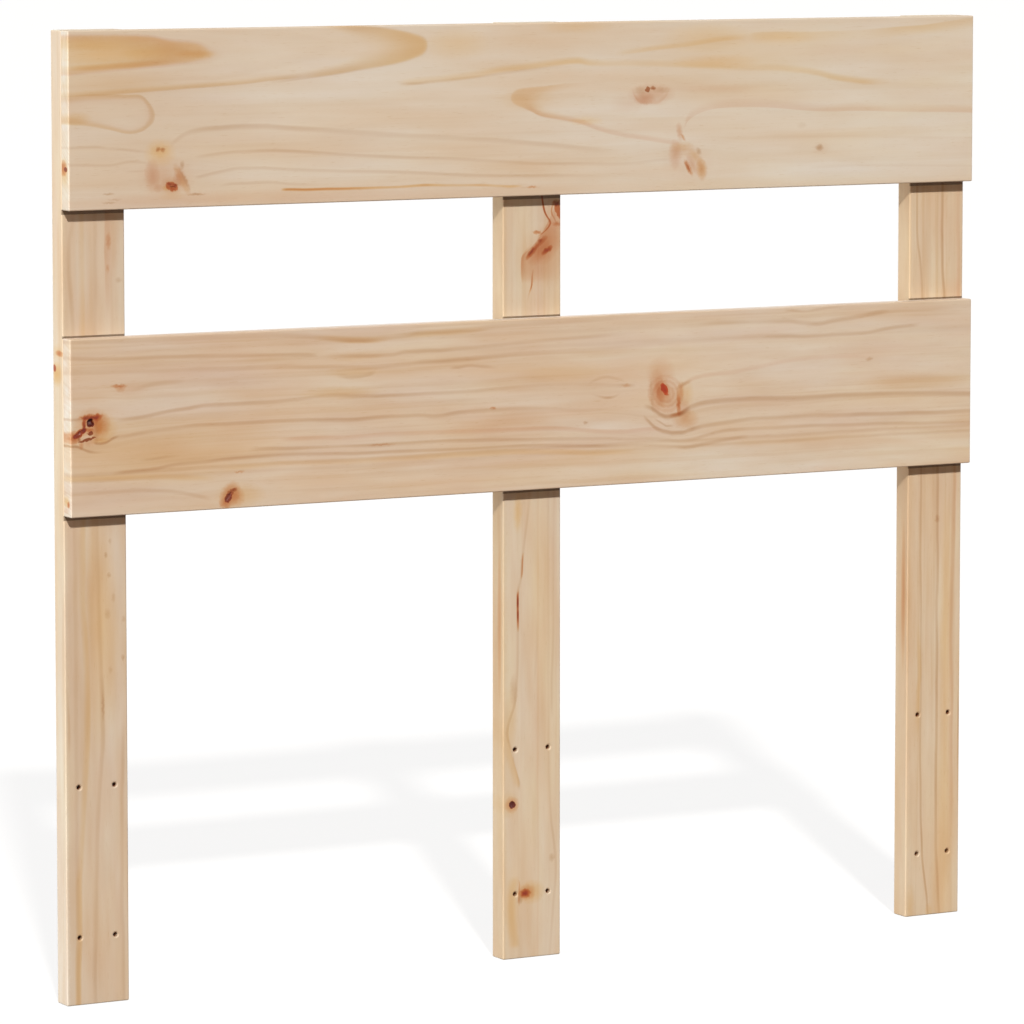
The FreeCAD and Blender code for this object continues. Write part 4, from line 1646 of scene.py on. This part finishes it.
    marks = (
        Mark(Tone.HONEY, (-450, -28), (120, 28), 1.3),
        Mark(tan, (-460, -32), (100, 20), 0.25),
        Mark(tan, (-460, 0), (110, 110), 0.45),
        Mark(orange, (-460, 0), (110, 110), -0.16),
        Mark(rose, (430, 0), (230, 110), -0.15),
        Mark(rose, (300, -76), (340, 17), -0.35),
        Mark(tan, (-440, -70), (110, 16), 0.12),
        # Painted light: the sawn left end is painted paler.
        Mark(Tone.STRAW, (-545, 0), (3, 110), -0.75, depth=(9, 20)),
        Mark(orange, (30, 31), (48, 10), 0.22),
        Mark(orange, (-222, 44), (28, 6), 0.3),
        Mark(orange, (-222, 61), (32, 5), 0.2),
        Mark(orange, (-240, 23), (40, 6), 0.3),
        Mark(rose, (-20, -16), (120, 14), 0.3),
        Mark(orange, (280, 4), (60, 12), 0.12),
        Mark(orange, (480, 3), (70, 8), 0.2),
        # The open knot at the left end: a hole in a dark ring, a branch to the lower left and a pale island.
        Mark(red, (-522, 11.5), (12, 2.8), 1.15, 3),
        Mark(red, (-515.5, 11), (4.6, 3.6), 0.7),
        Mark(Tone.UMBER, (-524, 11), (8, 1.8), 0.5),
        Mark(red, (-529.8, 4), (2.3, 9.5), 1.15, -4),
        Mark(Tone.UMBER, (-530, 2), (1.7, 6), 0.45),
        Mark(orange, (-513, 3), (4, 9), 0.8),
        Mark(red, (-516.5, 7.5), (2.4, 5), 0.5, -12),
        Mark(tan, (-516.5, -5), (2.6, 11), 1.0),
        Mark(Tone.UMBER, (-522.7, 5.8), (4.0, 4.4), 1.6, edge=Edge.CRISP),
        Mark(Tone.UMBER, (-523, -5), (3.4, 2.0), 0.8, 0, Edge.CRISP),
        Mark(red, (-524, -1.5), (5, 2.2), 0.7, -20),
        Mark(orange, (-508, -1), (13, 14), 0.6),
        Mark(red, (-521, 3), (17, 15), 0.35),
        Mark(red, (-511, 4), (9, 10), 0.25),
        Mark(red, (-534.5, -4.5), (9.0, 3.2), 1.3, 33, Edge.CRISP),
        Mark(Tone.UMBER, (-535, -5), (7, 2.0), 0.5, 33),
        Mark(red, (-541.5, -9), (5, 6.0), 1.0),
        Mark(Tone.UMBER, (-526.5, -11.6), (9.8, 1.5), 0.8, 14, Edge.CRISP),
        Mark(Tone.UMBER, (-535.5, -10.5), (2.0, 3.8), 0.45),
        Mark(orange, (-526, -8.2), (6.5, 2.0), -0.4, 12),
        Mark(red, (-533, -17), (2.2, 4), 0.35),
        Mark(rose, (-525, -15), (7, 3), 0.8),
        Mark(orange, (-512, -13), (9, 3), 0.6),
        # The small knot above it, with its streak.
        Mark(red, (-491, 42), (8.5, 1.7), 0.55),
        Mark(red, (-489, 39.5), (5, 3.4), 0.3),
        Mark(rose, (-478, 38), (18, 6), 0.35),
        # The dark slanted knot by the bottom edge.
        Mark(Tone.UMBER, (-367.8, -80.5), (5.2, 3.7), 0.85, 62, Edge.CRISP),
        Mark(Tone.UMBER, (-365, -75), (3.2, 2.4), 0.75),
        Mark(Tone.UMBER, (-361.5, -72), (3.8, 1.8), 0.62),
        Mark(red, (-366, -78), (13, 9), 0.65, 60),
        Mark(red, (-357, -80), (7, 9), 0.3),
        Mark(red, (-371, -86), (6, 5), 0.4),
        Mark(orange, (-354, -78), (24, 11), 0.5),
        # The red knot right of the middle, with the wood bowed under it.
        Mark(Tone.CHERRY, (152.5, 8.8), (7.4, 3.6), 1.5, -62, Edge.CRISP),
        Mark(red, (151.5, 10.5), (5.5, 2.4), 0.15, -62),
        Mark(Tone.UMBER, (153.5, 7.5), (3, 1.2), 0.12, -62),
        Mark(red, (151, 8), (12, 7), 0.4, -66),
        Mark(red, (146, 4), (13, 5), 0.3, -72),
        Mark(rose, (142, 7), (9, 20), 0.9),
        Mark(rose, (148, 26), (15, 15), 0.75),
        Mark(orange, (146, 12), (24, 9), 0.15, -78),
        Mark(rose, (154, 4), (20, 18), 0.6, -20, Edge.RIPPLE),
        Mark(rose, (159, -2), (20, 19), 0.9),
        Mark(red, (170.3, -9), (2.6, 10), 0.7, 2),
        Mark(orange, (172.5, 4), (4.5, 13), 0.36, -4),
        Mark(red, (172, 3), (4.0, 11), 0.22, -4),
        Mark(rose, (177, -14), (7, 10), 0.75),
        Mark(orange, (181, 3), (7, 13), 0.35),
        Mark(tan, (177, 13), (9, 2.2), 1.2, 24),
        Mark(tan, (137, 3), (2.0, 15), 0.8, 4),
        Mark(orange, (180, -24), (13, 9), 0.35),
        Mark(rose, (179, -25), (14, 9), 0.8),
        # Pale wood shows between the two bowls.
        Mark(Tone.STRAW, (153, -26), (13, 4.5), -0.5, -12),
        Mark(rose, (480, -54), (80, 7), -0.25),
        Mark(tan, (470, -54), (90, 5), -0.25),
        # Painted light: its top face is painted paler.
        Mark(Tone.STRAW, (0, 93), (700, 4), -2.3, depth=(10, 8)),
        Mark(red, (-57, -1.8), (3.5, 1.5), 0.5),
        Mark(tan, (55.5, -22), (3, 1.6), 1.8),
        Mark(tan, (412, 30), (5, 1.9), 1.3),
        Mark(red, (-355, -54), (5.5, 1.0), 0.35),
        Mark(red, (105, 14.8), (5, 1.6), 0.2),
        Mark(red, (-190, -33.5), (14, 1.0), 0.25),
        Mark(red, (-545, -78), (3, 3), 1.1, depth=(6, 3)),
        Mark(orange, (-545, -75), (4, 5), 0.9, depth=(11, 7)),
        Mark(rose, (-545, -84), (4, 4), 0.9, depth=(12, 8)),
    )
    return PlanedPine(
        name="Planed pine, lower plank",
        ground="#D2BDA5",
        pith=(240.0, 60.0),
        seed=11.3,
        lines=lines,
        marks=marks,
        swirls=(
            Swirl((-524, 3), (50, 22), 0.8),
            Swirl((154, 0), (55, 36), 0.75),
            Swirl((-367, -78), (30, 14), 0.7),
        ),
        line_width=1.35,
        band_strength=0.45,
    )


def left_post_pine() -> PlanedPine:
    """Gives the left post's wood: two broad warm lines and a pair of knots in its outer side.

    Returns:
        The post's finish.
    """
    tan, orange, rose, red = Tone.TAN, Tone.ORANGE, Tone.ROSE, Tone.RED
    lines = (
        GrainLine(
            orange,
            (
                (0, -22, 0.6), (50, -21, 0.65), (75, -20, 0.5), (125, -20, 0.5), (150, -18, 0.3),
                (200, -15, 0.3), (250, -11, 0.3), (275, -9.5, 0.4), (300, -9, 0.45), (350, -10, 0.3),
                (380, -11.5, 0.4), (400, -13, 0.35), (425, -14, 0.3), (475, -13, 0.35), (600, -12, 0.3),
                (1000, -14, 0.3),
            ),
            4.5, 3,
        ),
        GrainLine(
            tan,
            (
                (0, -3, 0.6), (30, -3, 0.8), (75, -2, 0.4), (150, 0, 0.4), (200, 2, 0.6), (250, 6, 0.6),
                (275, 8, 0.9), (300, 7.5, 1.0), (325, 7, 0.9), (345, 6, 0.5), (400, 4, 0.4), (600, 2, 0.4),
                (1000, 4, 0.4),
            ),
            3.5, 2.2,
        ),
        GrainLine(
            tan,
            ((0, 29, 0.6), (60, 29, 0.7), (100, 28, 0.4), (200, 28, 0.4), (250, 30, 0.7), (290, 30, 0)),
            3, 2,
        ),
        GrainLine(tan, ((258, -31, 0), (285, -30.5, 0.7), (310, -31.5, 0.5), (330, -33, 0)), 2, 1.5),
        GrainLine(
            rose,
            (
                (700, 15, 0), (740, 14, 0.4), (760, 13.5, 0.6), (775, 13, 0.75), (790, 13.5, 0.6),
                (860, 14, 0.4), (1000, 15, 0.2),
            ),
            1.2, 6,
        ),
        GrainLine(
            tan,
            (
                (700, -23, 0.4), (735, -26, 0.7), (760, -27.5, 0.7), (785, -27, 0.5), (810, -23, 0.3),
                (1000, -20, 0.3),
            ),
            2.5, 3,
        ),
    )
    marks = (
        Mark(Tone.HONEY, (395, 6), (110, 17), 1.1),
        Mark(orange, (430, 2), (70, 12), 0.15),
        Mark(tan, (357, 30), (3, 1.9), 1.4),
        Mark(tan, (397, 31), (3, 2.2), 0.9),
        Mark(tan, (403, 13), (5, 3.4), 0.9),
        Mark(tan, (420, 20), (5, 2), 0.9),
        Mark(tan, (443, 15), (2.8, 2.2), 1.3),
        Mark(tan, (464, 12), (2.8, 2.1), 1.5),
        Mark(tan, (345, 16), (4, 2), 0.7),
        Mark(tan, (478, 17), (3, 1.7), 0.9),
        Mark(tan, (308, 7.5), (14, 1.5), 1.2),
        Mark(red, (785, 17), (8, 2.6), 0.3),
        Mark(red, (757, 16), (4, 1.8), 0.22),
        # Painted light: its outer side is painted paler.
        Mark(Tone.STRAW, (500, -35), (700, 4), -0.4),
        Mark(rose, (500, -35), (700, 4), -0.35),
        Mark(Tone.HONEY, (500, -35), (700, 4), 0.45),
        Mark(Tone.STRAW, (40, -35), (200, 3), -0.7),
        Mark(rose, (785, 20), (30, 8), 0.45),
        Mark(tan, (745, 28), (2.8, 3.6), 0.9),
        Mark(red, (656, -35), (3.6, 7), 1.4, edge=Edge.CRISP, depth=(20, 4)),
        Mark(orange, (651, -35), (11, 8), 1.2, depth=(14, 11)),
        Mark(red, (672, -35), (2.6, 6), 0.8, depth=(8, 8)),
        Mark(orange, (673, -35), (7, 6), 0.5, depth=(12, 10)),
    )
    return PlanedPine(
        name="Planed pine, left post",
        ground="#CEBAA2",
        pith=(-40.0, 90.0),
        seed=21.9,
        lines=lines,
        marks=marks,
        line_width=1.2,
        band_strength=0.45,
    )


def centre_post_pine() -> PlanedPine:
    """Gives the centre post's wood: a red flame by the top crossing, a resin streak and two low knots.

    Returns:
        The post's finish.
    """
    tan, orange, rose, red = Tone.TAN, Tone.ORANGE, Tone.ROSE, Tone.RED
    lines = (
        GrainLine(
            tan,
            (
                (180, -15, 0), (190, -15, 0.8), (200, -18, 0.4), (225, -24, 0.5), (245, -30, 0.7),
                (255, -28, 0.7), (275, -21, 0.8), (300, -18, 0.7), (325, -17, 0.6), (350, -17, 0.6),
                (395, -16.5, 0.6), (410, -13, 0.7), (422, -12, 1.1), (440, -10, 0.6), (460, -7, 0.6),
                (475, -5, 0.5), (492, -3, 0.3), (560, 0, 0.2),
            ),
            2.8, 1.8,
        ),
        GrainLine(
            red,
            (
                (352, -17, 0), (360, -17, 0.6), (372, -17, 1.4), (377, -17, 1.0), (383, -17, 1.6),
                (391, -17, 1.1), (396, -16.5, 0.2), (402, -16, 0),
            ),
            1.7, 1.7,
        ),
        GrainLine(
            Tone.UMBER,
            (
                (362, -17, 0), (371, -17, 0.3), (377, -17, 0.12), (384, -17, 0.35), (390, -17, 0.15),
                (396, -16.5, 0),
            ),
            1.4, 1.4,
        ),
        GrainLine(red, ((408, -13, 0), (416, -12, 0.5), (428, -11.5, 0.5), (438, -10.5, 0)), 1.4, 1.4),
        # A boat shaped patch of darker wood, and a wedge of it above.
        GrainLine(
            orange,
            (
                (11, -20, 0), (16, -20, 0.42), (30, -22, 0.46), (45, -24, 0.46), (60, -24.5, 0.46),
                (75, -23.5, 0.42), (84, -21.5, 0.3), (90, -20, 0),
            ),
            9, 6.5,
        ),
        GrainLine(
            orange,
            (
                (184, -15, 0), (190, -15.5, 0.4), (200, -18, 0.45), (212, -22, 0.4), (225, -26, 0.35),
                (250, -29, 0.2), (270, -26, 0),
            ),
            9, 1.3,
        ),
        # The lower edge of the flame, with the wood above it dyed.
        GrainLine(
            rose,
            (
                (724, -11, 0), (730, -12, 0.7), (741, -12.5, 1.0), (752, -12, 1.1), (758, -6, 1.15),
                (765, 3, 1.2), (776, 12, 1.1), (790, 21, 0.9), (808, 30, 0),
            ),
            1.4, 52,
        ),
        GrainLine(tan, ((255, 24, 0), (275, 24, 0.6), (350, 26, 0.4), (450, 27, 0.3), (1000, 28, 0.2))),
        GrainLine(
            tan,
            (
                (0, 22, 0.3), (60, 27, 0.5), (90, 29, 0.6), (130, 26, 0.7), (145, 24, 0.5), (220, 21, 0.3),
                (300, 20, 0.2),
            ),
        ),
        GrainLine(tan, ((290, 3, 0), (320, 5, 0.4), (345, 6, 0.3), (370, 5, 0))),
        GrainLine(red, ((56, -15, 0), (65, -15.5, 0.35), (80, -15, 0.25), (86, -16.5, 0)), 1.5, 1.2),
        GrainLine(
            red,
            (
                (773, 7, 0), (777, 13, 0.5), (782, 19, 0.65), (788, 22.5, 0.8), (793, 19, 0.8),
                (799, 15.5, 0.85), (806, 13.5, 0.9), (815, 12, 0.9), (840, 10, 0.4), (880, 6, 0),
            ),
            1.7, 1.5,
        ),
        GrainLine(
            red,
            ((786, 30, 0), (792, 27, 0.3), (799, 23.5, 0.5), (804, 24, 0.4), (812, 28, 0)),
            1.3, 1.3,
        ),
        GrainLine(
            Tone.UMBER,
            ((786, 21, 0), (792, 19.5, 0.12), (799, 15.5, 0.22), (806, 13.5, 0.25), (815, 12, 0)),
            1.5, 1.4,
        ),
        GrainLine(
            red,
            ((722, -12.5, 0), (740, -12.5, 0.15), (752, -12, 0.2), (758, -8.5, 0.15), (766, 0, 0)),
            1.2, 4,
        ),
        GrainLine(
            red,
            (
                (703, -5.5, 0), (714, -3, 0.15), (721, -0.5, 0.7), (726, 0, 0.6), (733, 0.5, 0.3),
                (740, 2, 0),
            ),
            1.3, 1.3,
        ),
    )
    marks = (
        # The knot beside the lowest hole.
        Mark(red, (70, -8.2), (4.4, 6.0), 1.6),
        Mark(red, (70, -9.5), (2.4, 3.4), 0.5),
        Mark(red, (71, -6), (7, 9), 0.42),
        Mark(orange, (71, -1), (11, 14), 0.75),
        Mark(tan, (64, -14), (4.0, 2.8), 2.0),
        Mark(Tone.HONEY, (50, -24), (46, 8), 0.5),
        # The round dead knot.
        Mark(Tone.UMBER, (167, -24), (4.0, 4.0), 1.5, edge=Edge.CRISP),
        Mark(red, (167, -24.5), (7.5, 7.5), 0.4),
        Mark(orange, (167, -27), (12, 9), 0.4),
        Mark(tan, (106, 24), (4.5, 3), 1.2),
        Mark(orange, (262, -25), (30, 6), 0.25),
        Mark(Tone.HONEY, (280, 12), (180, 22), 0.5),
        Mark(tan, (290, -22), (15, 4), 1.0),
        Mark(Tone.HONEY, (480, -17), (18, 5), 1.2),
        Mark(orange, (480, -17), (16, 4), 0.15),
        Mark(tan, (750, 0), (80, 60), 0.22),
        Mark(tan, (700, 0), (15, 45), 0.25),
        # The red flame.
        Mark(rose, (752, 16), (27, 30), 0.6, 12),
        Mark(orange, (752, 14), (27, 27), 0.12, 12),
        Mark(red, (767, 19), (20, 12), 0.3, 20),
        Mark(red, (758.5, 18.5), (7.0, 2.7), 1.4, 58),
        Mark(red, (757.5, 0), (9.5, 2.9), 1.3, 45),
        Mark(Tone.UMBER, (757, -1.5), (5, 1.2), 0.35, 45),
        Mark(red, (768, 11), (8, 2.8), 0.7, 52),
        Mark(Tone.UMBER, (769, 10), (2.6, 1.6), 0.3, 60),
        Mark(red, (778, 6), (1.9, 5), 0.75, 8),
        Mark(red, (757, 8), (14, 8), 0.3, 45),
        Mark(red, (800, 32), (9, 4), 0.9, -25, Edge.CRISP),
        Mark(Tone.UMBER, (808, 30), (3.2, 6), 0.7, 5),
        Mark(red, (786, 31), (2.2, 5.5), 0.55, 5),
        Mark(rose, (795, 25), (16, 12), 0.8),
        # The darker heart line in its left side.
        Mark(red, (360, -35), (70, 6), 0.3, depth=(8, 4)),
        Mark(orange, (500, -35), (700, 4), 0.33),
        # Painted shade: the left side is darker below the lower plank, and the mark after it lightens it
        # higher up.
        Mark(tan, (365, -35), (150, 3), 0.35, depth=(13, 14)),
        Mark(tan, (755, -35), (75, 3), -0.45, depth=(13, 14)),
    )
    return PlanedPine(
        name="Planed pine, centre post",
        ground="#D4C3AB",
        pith=(70.0, 60.0),
        seed=33.1,
        lines=lines,
        marks=marks,
        swirls=(Swirl((70, -7), (26, 18), 0.6), Swirl((166, -25), (24, 12), 0.6)),
        band_strength=0.35,
    )


def right_post_pine() -> PlanedPine:
    """Gives the right post's wood: close straight lines in warm stripes.

    Returns:
        The post's finish.
    """
    tan, orange, rose, red = Tone.TAN, Tone.ORANGE, Tone.ROSE, Tone.RED
    lines = (
        GrainLine(
            tan,
            (
                (0, 10, 0.4), (30, 8, 0.7), (50, 7, 0.7), (75, 5, 0.6), (110, 4.5, 0.7), (150, 4, 1.0),
                (200, 4.5, 0.8), (250, 4.5, 1.0), (300, 5.5, 0.9), (350, 4, 0.6), (375, 5, 0.8),
                (400, 5, 1.0), (430, 4, 1.0), (475, 4, 0.9), (600, 7, 0.8), (690, 11, 1.1), (720, 8.5, 1.1),
                (750, 8, 1.0), (805, 8, 0.9), (1000, 6, 0.7),
            ),
            3, 2,
        ),
        GrainLine(
            tan,
            (
                (0, -5, 0.6), (20, -6.5, 1.0), (30, -8, 1.1), (50, -11, 1.0), (65, -13, 1.0),
                (85, -14, 1.1), (110, -15.5, 0.9), (150, -16, 0.8), (200, -17, 0.6), (270, -16, 0.6),
                (325, -16, 0.6), (400, -18, 0.6), (435, -18.5, 0.8), (600, -17, 0.5), (690, -18, 0.5),
                (730, -21, 0.7), (750, -24, 0.7), (780, -25, 0.6), (1000, -27, 0.4),
            ),
            2.2, 1.6,
        ),
        GrainLine(
            rose,
            (
                (80, 24, 0.1), (150, 25, 0.35), (200, 24, 0.45), (250, 25, 0.5), (300, 24, 0.5),
                (350, 24, 0.5), (400, 25, 0.4), (450, 26, 0.5), (700, 30, 0.4), (805, 29, 0.2),
            ),
            4, 2.5,
        ),
        GrainLine(tan, ((120, 33, 0), (180, 33, 0.7), (220, 33, 1.0), (255, 32, 0)), 1.5, 1.5),
        GrainLine(orange, ((195, -20, 0), (250, -19, 0.3), (275, -17, 0.3), (330, -19, 0)), 5, 2),
    )
    marks = (
        Mark(Tone.HONEY, (60, 16), (110, 14), 0.8),
        Mark(orange, (200, 14), (110, 10), 0.14),
        Mark(Tone.HONEY, (300, 16), (150, 7), 0.9),
        Mark(Tone.HONEY, (750, 0), (70, 50), -0.45),
        Mark(orange, (3, -4), (9, 5), 0.4),
        Mark(orange, (12, -28), (22, 5), 0.35),
        Mark(tan, (444, 3.5), (4, 2.7), 1.5),
        Mark(rose, (695, 22), (14, 14), 0.4),
        Mark(red, (360, -35), (70, 6), 0.35, depth=(8, 4)),
        Mark(orange, (500, -35), (700, 4), 0.05),
        # Painted shade: the left side is darker below the lower plank.
        Mark(tan, (365, -35), (150, 3), 0.2, depth=(13, 14)),
        Mark(Tone.STRAW, (90, -35), (170, 4), -0.75),
        Mark(Tone.HONEY, (90, -35), (170, 4), 0.5),
        Mark(Tone.STRAW, (750, -35), (80, 4), -0.75),
        Mark(Tone.HONEY, (750, -35), (90, 3), 0.8),
    )
    return PlanedPine(
        name="Planed pine, right post",
        ground="#D3BC9E",
        pith=(160.0, 40.0),
        seed=47.5,
        lines=lines,
        marks=marks,
        line_strength=1.4,
        band_strength=0.6,
    )


@dataclass(frozen=True)
class Lamp:
    """A lamp: the way its light goes, and its level, which is what a white matt face towards it shows."""

    name: str
    direction: tuple[float, float, float]
    level: float
    tint: str = "#FFFFFF"
    glare: bool = True

    def hang(self, light: bpy.types.Light, place: tuple[float, float, float]) -> None:
        """Hangs the lamp.

        Args:
            light: the lamp's light.
            place: where it hangs, in metres.
        """
        light.color = linear(self.tint)[:3]
        holder = bpy.data.objects.new(self.name, light)
        holder.visible_glossy = self.glare
        holder.location = place
        holder.rotation_mode = "QUATERNION"
        holder.rotation_quaternion = Vector(self.direction).to_track_quat("-Z", "Y")
        bpy.context.scene.collection.objects.link(holder)


@dataclass(frozen=True)
class FarLamp(Lamp):
    """A lamp so far off that its light is the same everywhere. Its spread in degrees softens its shadows."""

    spread: float = 3.0
    place: tuple[float, float, float] = (0.0, 0.0, 3.0)

    def build(self) -> None:
        """Makes the lamp and hangs it."""
        light = bpy.data.lights.new(self.name, "SUN")
        light.energy = self.level * math.pi
        light.angle = math.radians(self.spread)
        self.hang(light, self.place)


@dataclass(frozen=True)
class SoftBox(Lamp):
    """A large square lamp that stands at a distance from the headboard's near end. Sizes are in metres."""

    distance: float = 8.0
    size: float = 5.6
    target: tuple[float, float, float] = (-0.545, 0.0, 0.5)

    def build(self) -> None:
        """Makes the lamp and hangs it."""
        light = bpy.data.lights.new(self.name, "AREA")
        light.shape = "SQUARE"
        light.size = self.size
        light.energy = self.level * (math.pi * self.distance) ** 2
        aim = Vector(self.direction).normalized()
        self.hang(light, Vector(self.target) - aim * self.distance)


@dataclass
class Studio:
    """A pale floor, a soft sky, three lamps and the camera. Sizes are in metres, angles in degrees."""

    floor_reach: float = 90.0
    floor_drop: float = 0.0003
    floor_colour: str = "#F4F3F1"
    floor_bounce: str = "#80644E"
    floor_glow: float = 0.86
    sky_tint: tuple[float, float, float, float] = (0.118, 0.092, 0.072, 1.0)
    lamps: tuple[FarLamp | SoftBox, ...] = (
        FarLamp("key_lamp", (0.294, 0.779, -0.554), 0.97, "#FFFCF8"),
        SoftBox("left_lamp", (0.97, 0.05, -0.15), 1.1),
        FarLamp("back_lamp", (-0.45, -0.83, -0.33), 0.8, glare=False, spread=20.0),
    )
    camera_place: tuple[float, float, float] = (-2.9386, -5.2823, 1.1839)
    camera_yaw: float = 28.901
    camera_pitch: float = -5.413
    camera_lens: float = 201.02
    camera_sensor: float = 36.0
    camera_shift: float = -0.12
    camera_far: float = 500.0

    def seen_directly(self, tree: bpy.types.NodeTree) -> bpy.types.Node:
        """Finds the rays that show the background: those of the camera, of mirrors and of clear things.

        Args:
            tree: the node tree of the floor or the sky.

        Returns:
            A node that gives 1 for such a ray and 0 for others.
        """
        rays = add_node(tree, "ShaderNodeLightPath")
        sharp = add_node(
            tree,
            MATH,
            {"operation": "MAXIMUM"},
            {0: rays.outputs["Is Glossy Ray"], 1: rays.outputs["Is Transmission Ray"]},
        )
        return add_node(tree, MATH, {"operation": "MAXIMUM"}, {0: rays.outputs["Is Camera Ray"], 1: sharp})

    def lay_floor(self) -> None:
        """Lays a matt floor that shows white, apart from the headboard's faint shadow."""
        bpy.ops.object.select_all(action="DESELECT")
        bpy.ops.mesh.primitive_plane_add(size=2 * self.floor_reach, location=(0.0, 0.0, -self.floor_drop))
        floor = bpy.context.object
        floor.name = "studio_floor"
        material = bpy.data.materials.new("Matt pale studio floor")
        material.use_nodes = True
        tree = material.node_tree
        tree.nodes.clear()
        seen = self.seen_directly(tree)
        tint = add_node(
            tree,
            MIX,
            {"data_type": "RGBA"},
            {0: seen, 6: linear(self.floor_bounce), 7: linear(self.floor_colour)},
        )
        paint = add_node(tree, "ShaderNodeBsdfDiffuse", inputs={"Color": tint.outputs[2], "Roughness": 1.0})
        glow = add_node(tree, "ShaderNodeEmission", inputs={"Color": WHITE, "Strength": 1.0})
        share = add_node(tree, MATH, {"operation": "MULTIPLY"}, {0: seen, 1: self.floor_glow})
        mixed = add_node(tree, "ShaderNodeMixShader", inputs={0: share, 1: paint, 2: glow})
        add_node(tree, OUTPUT, inputs={0: mixed})
        floor.data.materials.append(material)

    def light_sky(self) -> None:
        """Lights the whole scene a little from all round, warmly, with a white sky where it is seen."""
        world = bpy.data.worlds.new("studio_sky")
        bpy.context.scene.world = world
        world.use_nodes = True
        tree = world.node_tree
        tree.nodes.clear()
        tint = add_node(
            tree,
            MIX,
            {"data_type": "RGBA"},
            {0: self.seen_directly(tree), 6: self.sky_tint, 7: WHITE},
        )
        sky = add_node(tree, "ShaderNodeBackground", inputs={0: tint.outputs[2], 1: 1.0})
        add_node(tree, "ShaderNodeOutputWorld", inputs={0: sky})

    def set_camera(self) -> None:
        """Stands the camera in front and to the left, tilted a little down."""
        yaw, pitch = math.radians(self.camera_yaw), math.radians(self.camera_pitch)
        aim = Vector((math.sin(yaw) * math.cos(pitch), math.cos(yaw) * math.cos(pitch), math.sin(pitch)))
        camera = bpy.data.cameras.new("camera")
        camera.lens = self.camera_lens
        camera.sensor_width = self.camera_sensor
        camera.shift_y = self.camera_shift
        camera.clip_end = self.camera_far
        holder = bpy.data.objects.new("camera", camera)
        holder.location = self.camera_place
        holder.rotation_mode = "QUATERNION"
        holder.rotation_quaternion = aim.to_track_quat("-Z", "Y")
        bpy.context.scene.collection.objects.link(holder)
        bpy.context.scene.camera = holder

    def build(self) -> None:
        """Sets up the whole studio."""
        bpy.context.scene.view_settings.view_transform = "Standard"
        self.lay_floor()
        self.light_sky()
        for lamp in self.lamps:
            lamp.build()
        self.set_camera()
        LOG.info("studio: floor, sky, %d lamps and camera", len(self.lamps))


def main() -> None:
    """Builds the headboard and its studio."""
    logging.basicConfig(level=logging.INFO, format="%(name)s: %(message)s")
    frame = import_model()
    screws = Screws()
    Post("left_post", Run.UPRIGHT, left_post_pine()).build(screws)
    Post(
        "centre_post",
        Run.UPRIGHT,
        centre_post_pine(),
        pits=(Pit((167, -24), (3.8, 3.8), 1.6, seed=5),),
    ).build(screws)
    Post("right_post", Run.UPRIGHT, right_post_pine()).build(screws)
    Plank(
        "top_plank",
        Run.LEVEL,
        top_plank_pine(),
        pits=(Pit((-428, -70.5), (4.5, 1.6), 1.2, -20, seed=7),),
    ).build(screws)
    Plank(
        "lower_plank",
        Run.LEVEL,
        lower_plank_pine(),
        pits=(
            Pit((-522.7, 5.8), (3.7, 4.2), 5.0, seed=2),
            Pit((-535.5, -5), (6.0, 1.8), 1.2, 33, seed=3),
            Pit((-367.5, -79), (6.0, 1.8), 1.2, 58, seed=4),
        ),
    ).build(screws)
    screws.dress(frame["nodes"])
    Studio().build()


if __name__ == "__main__":
    main()
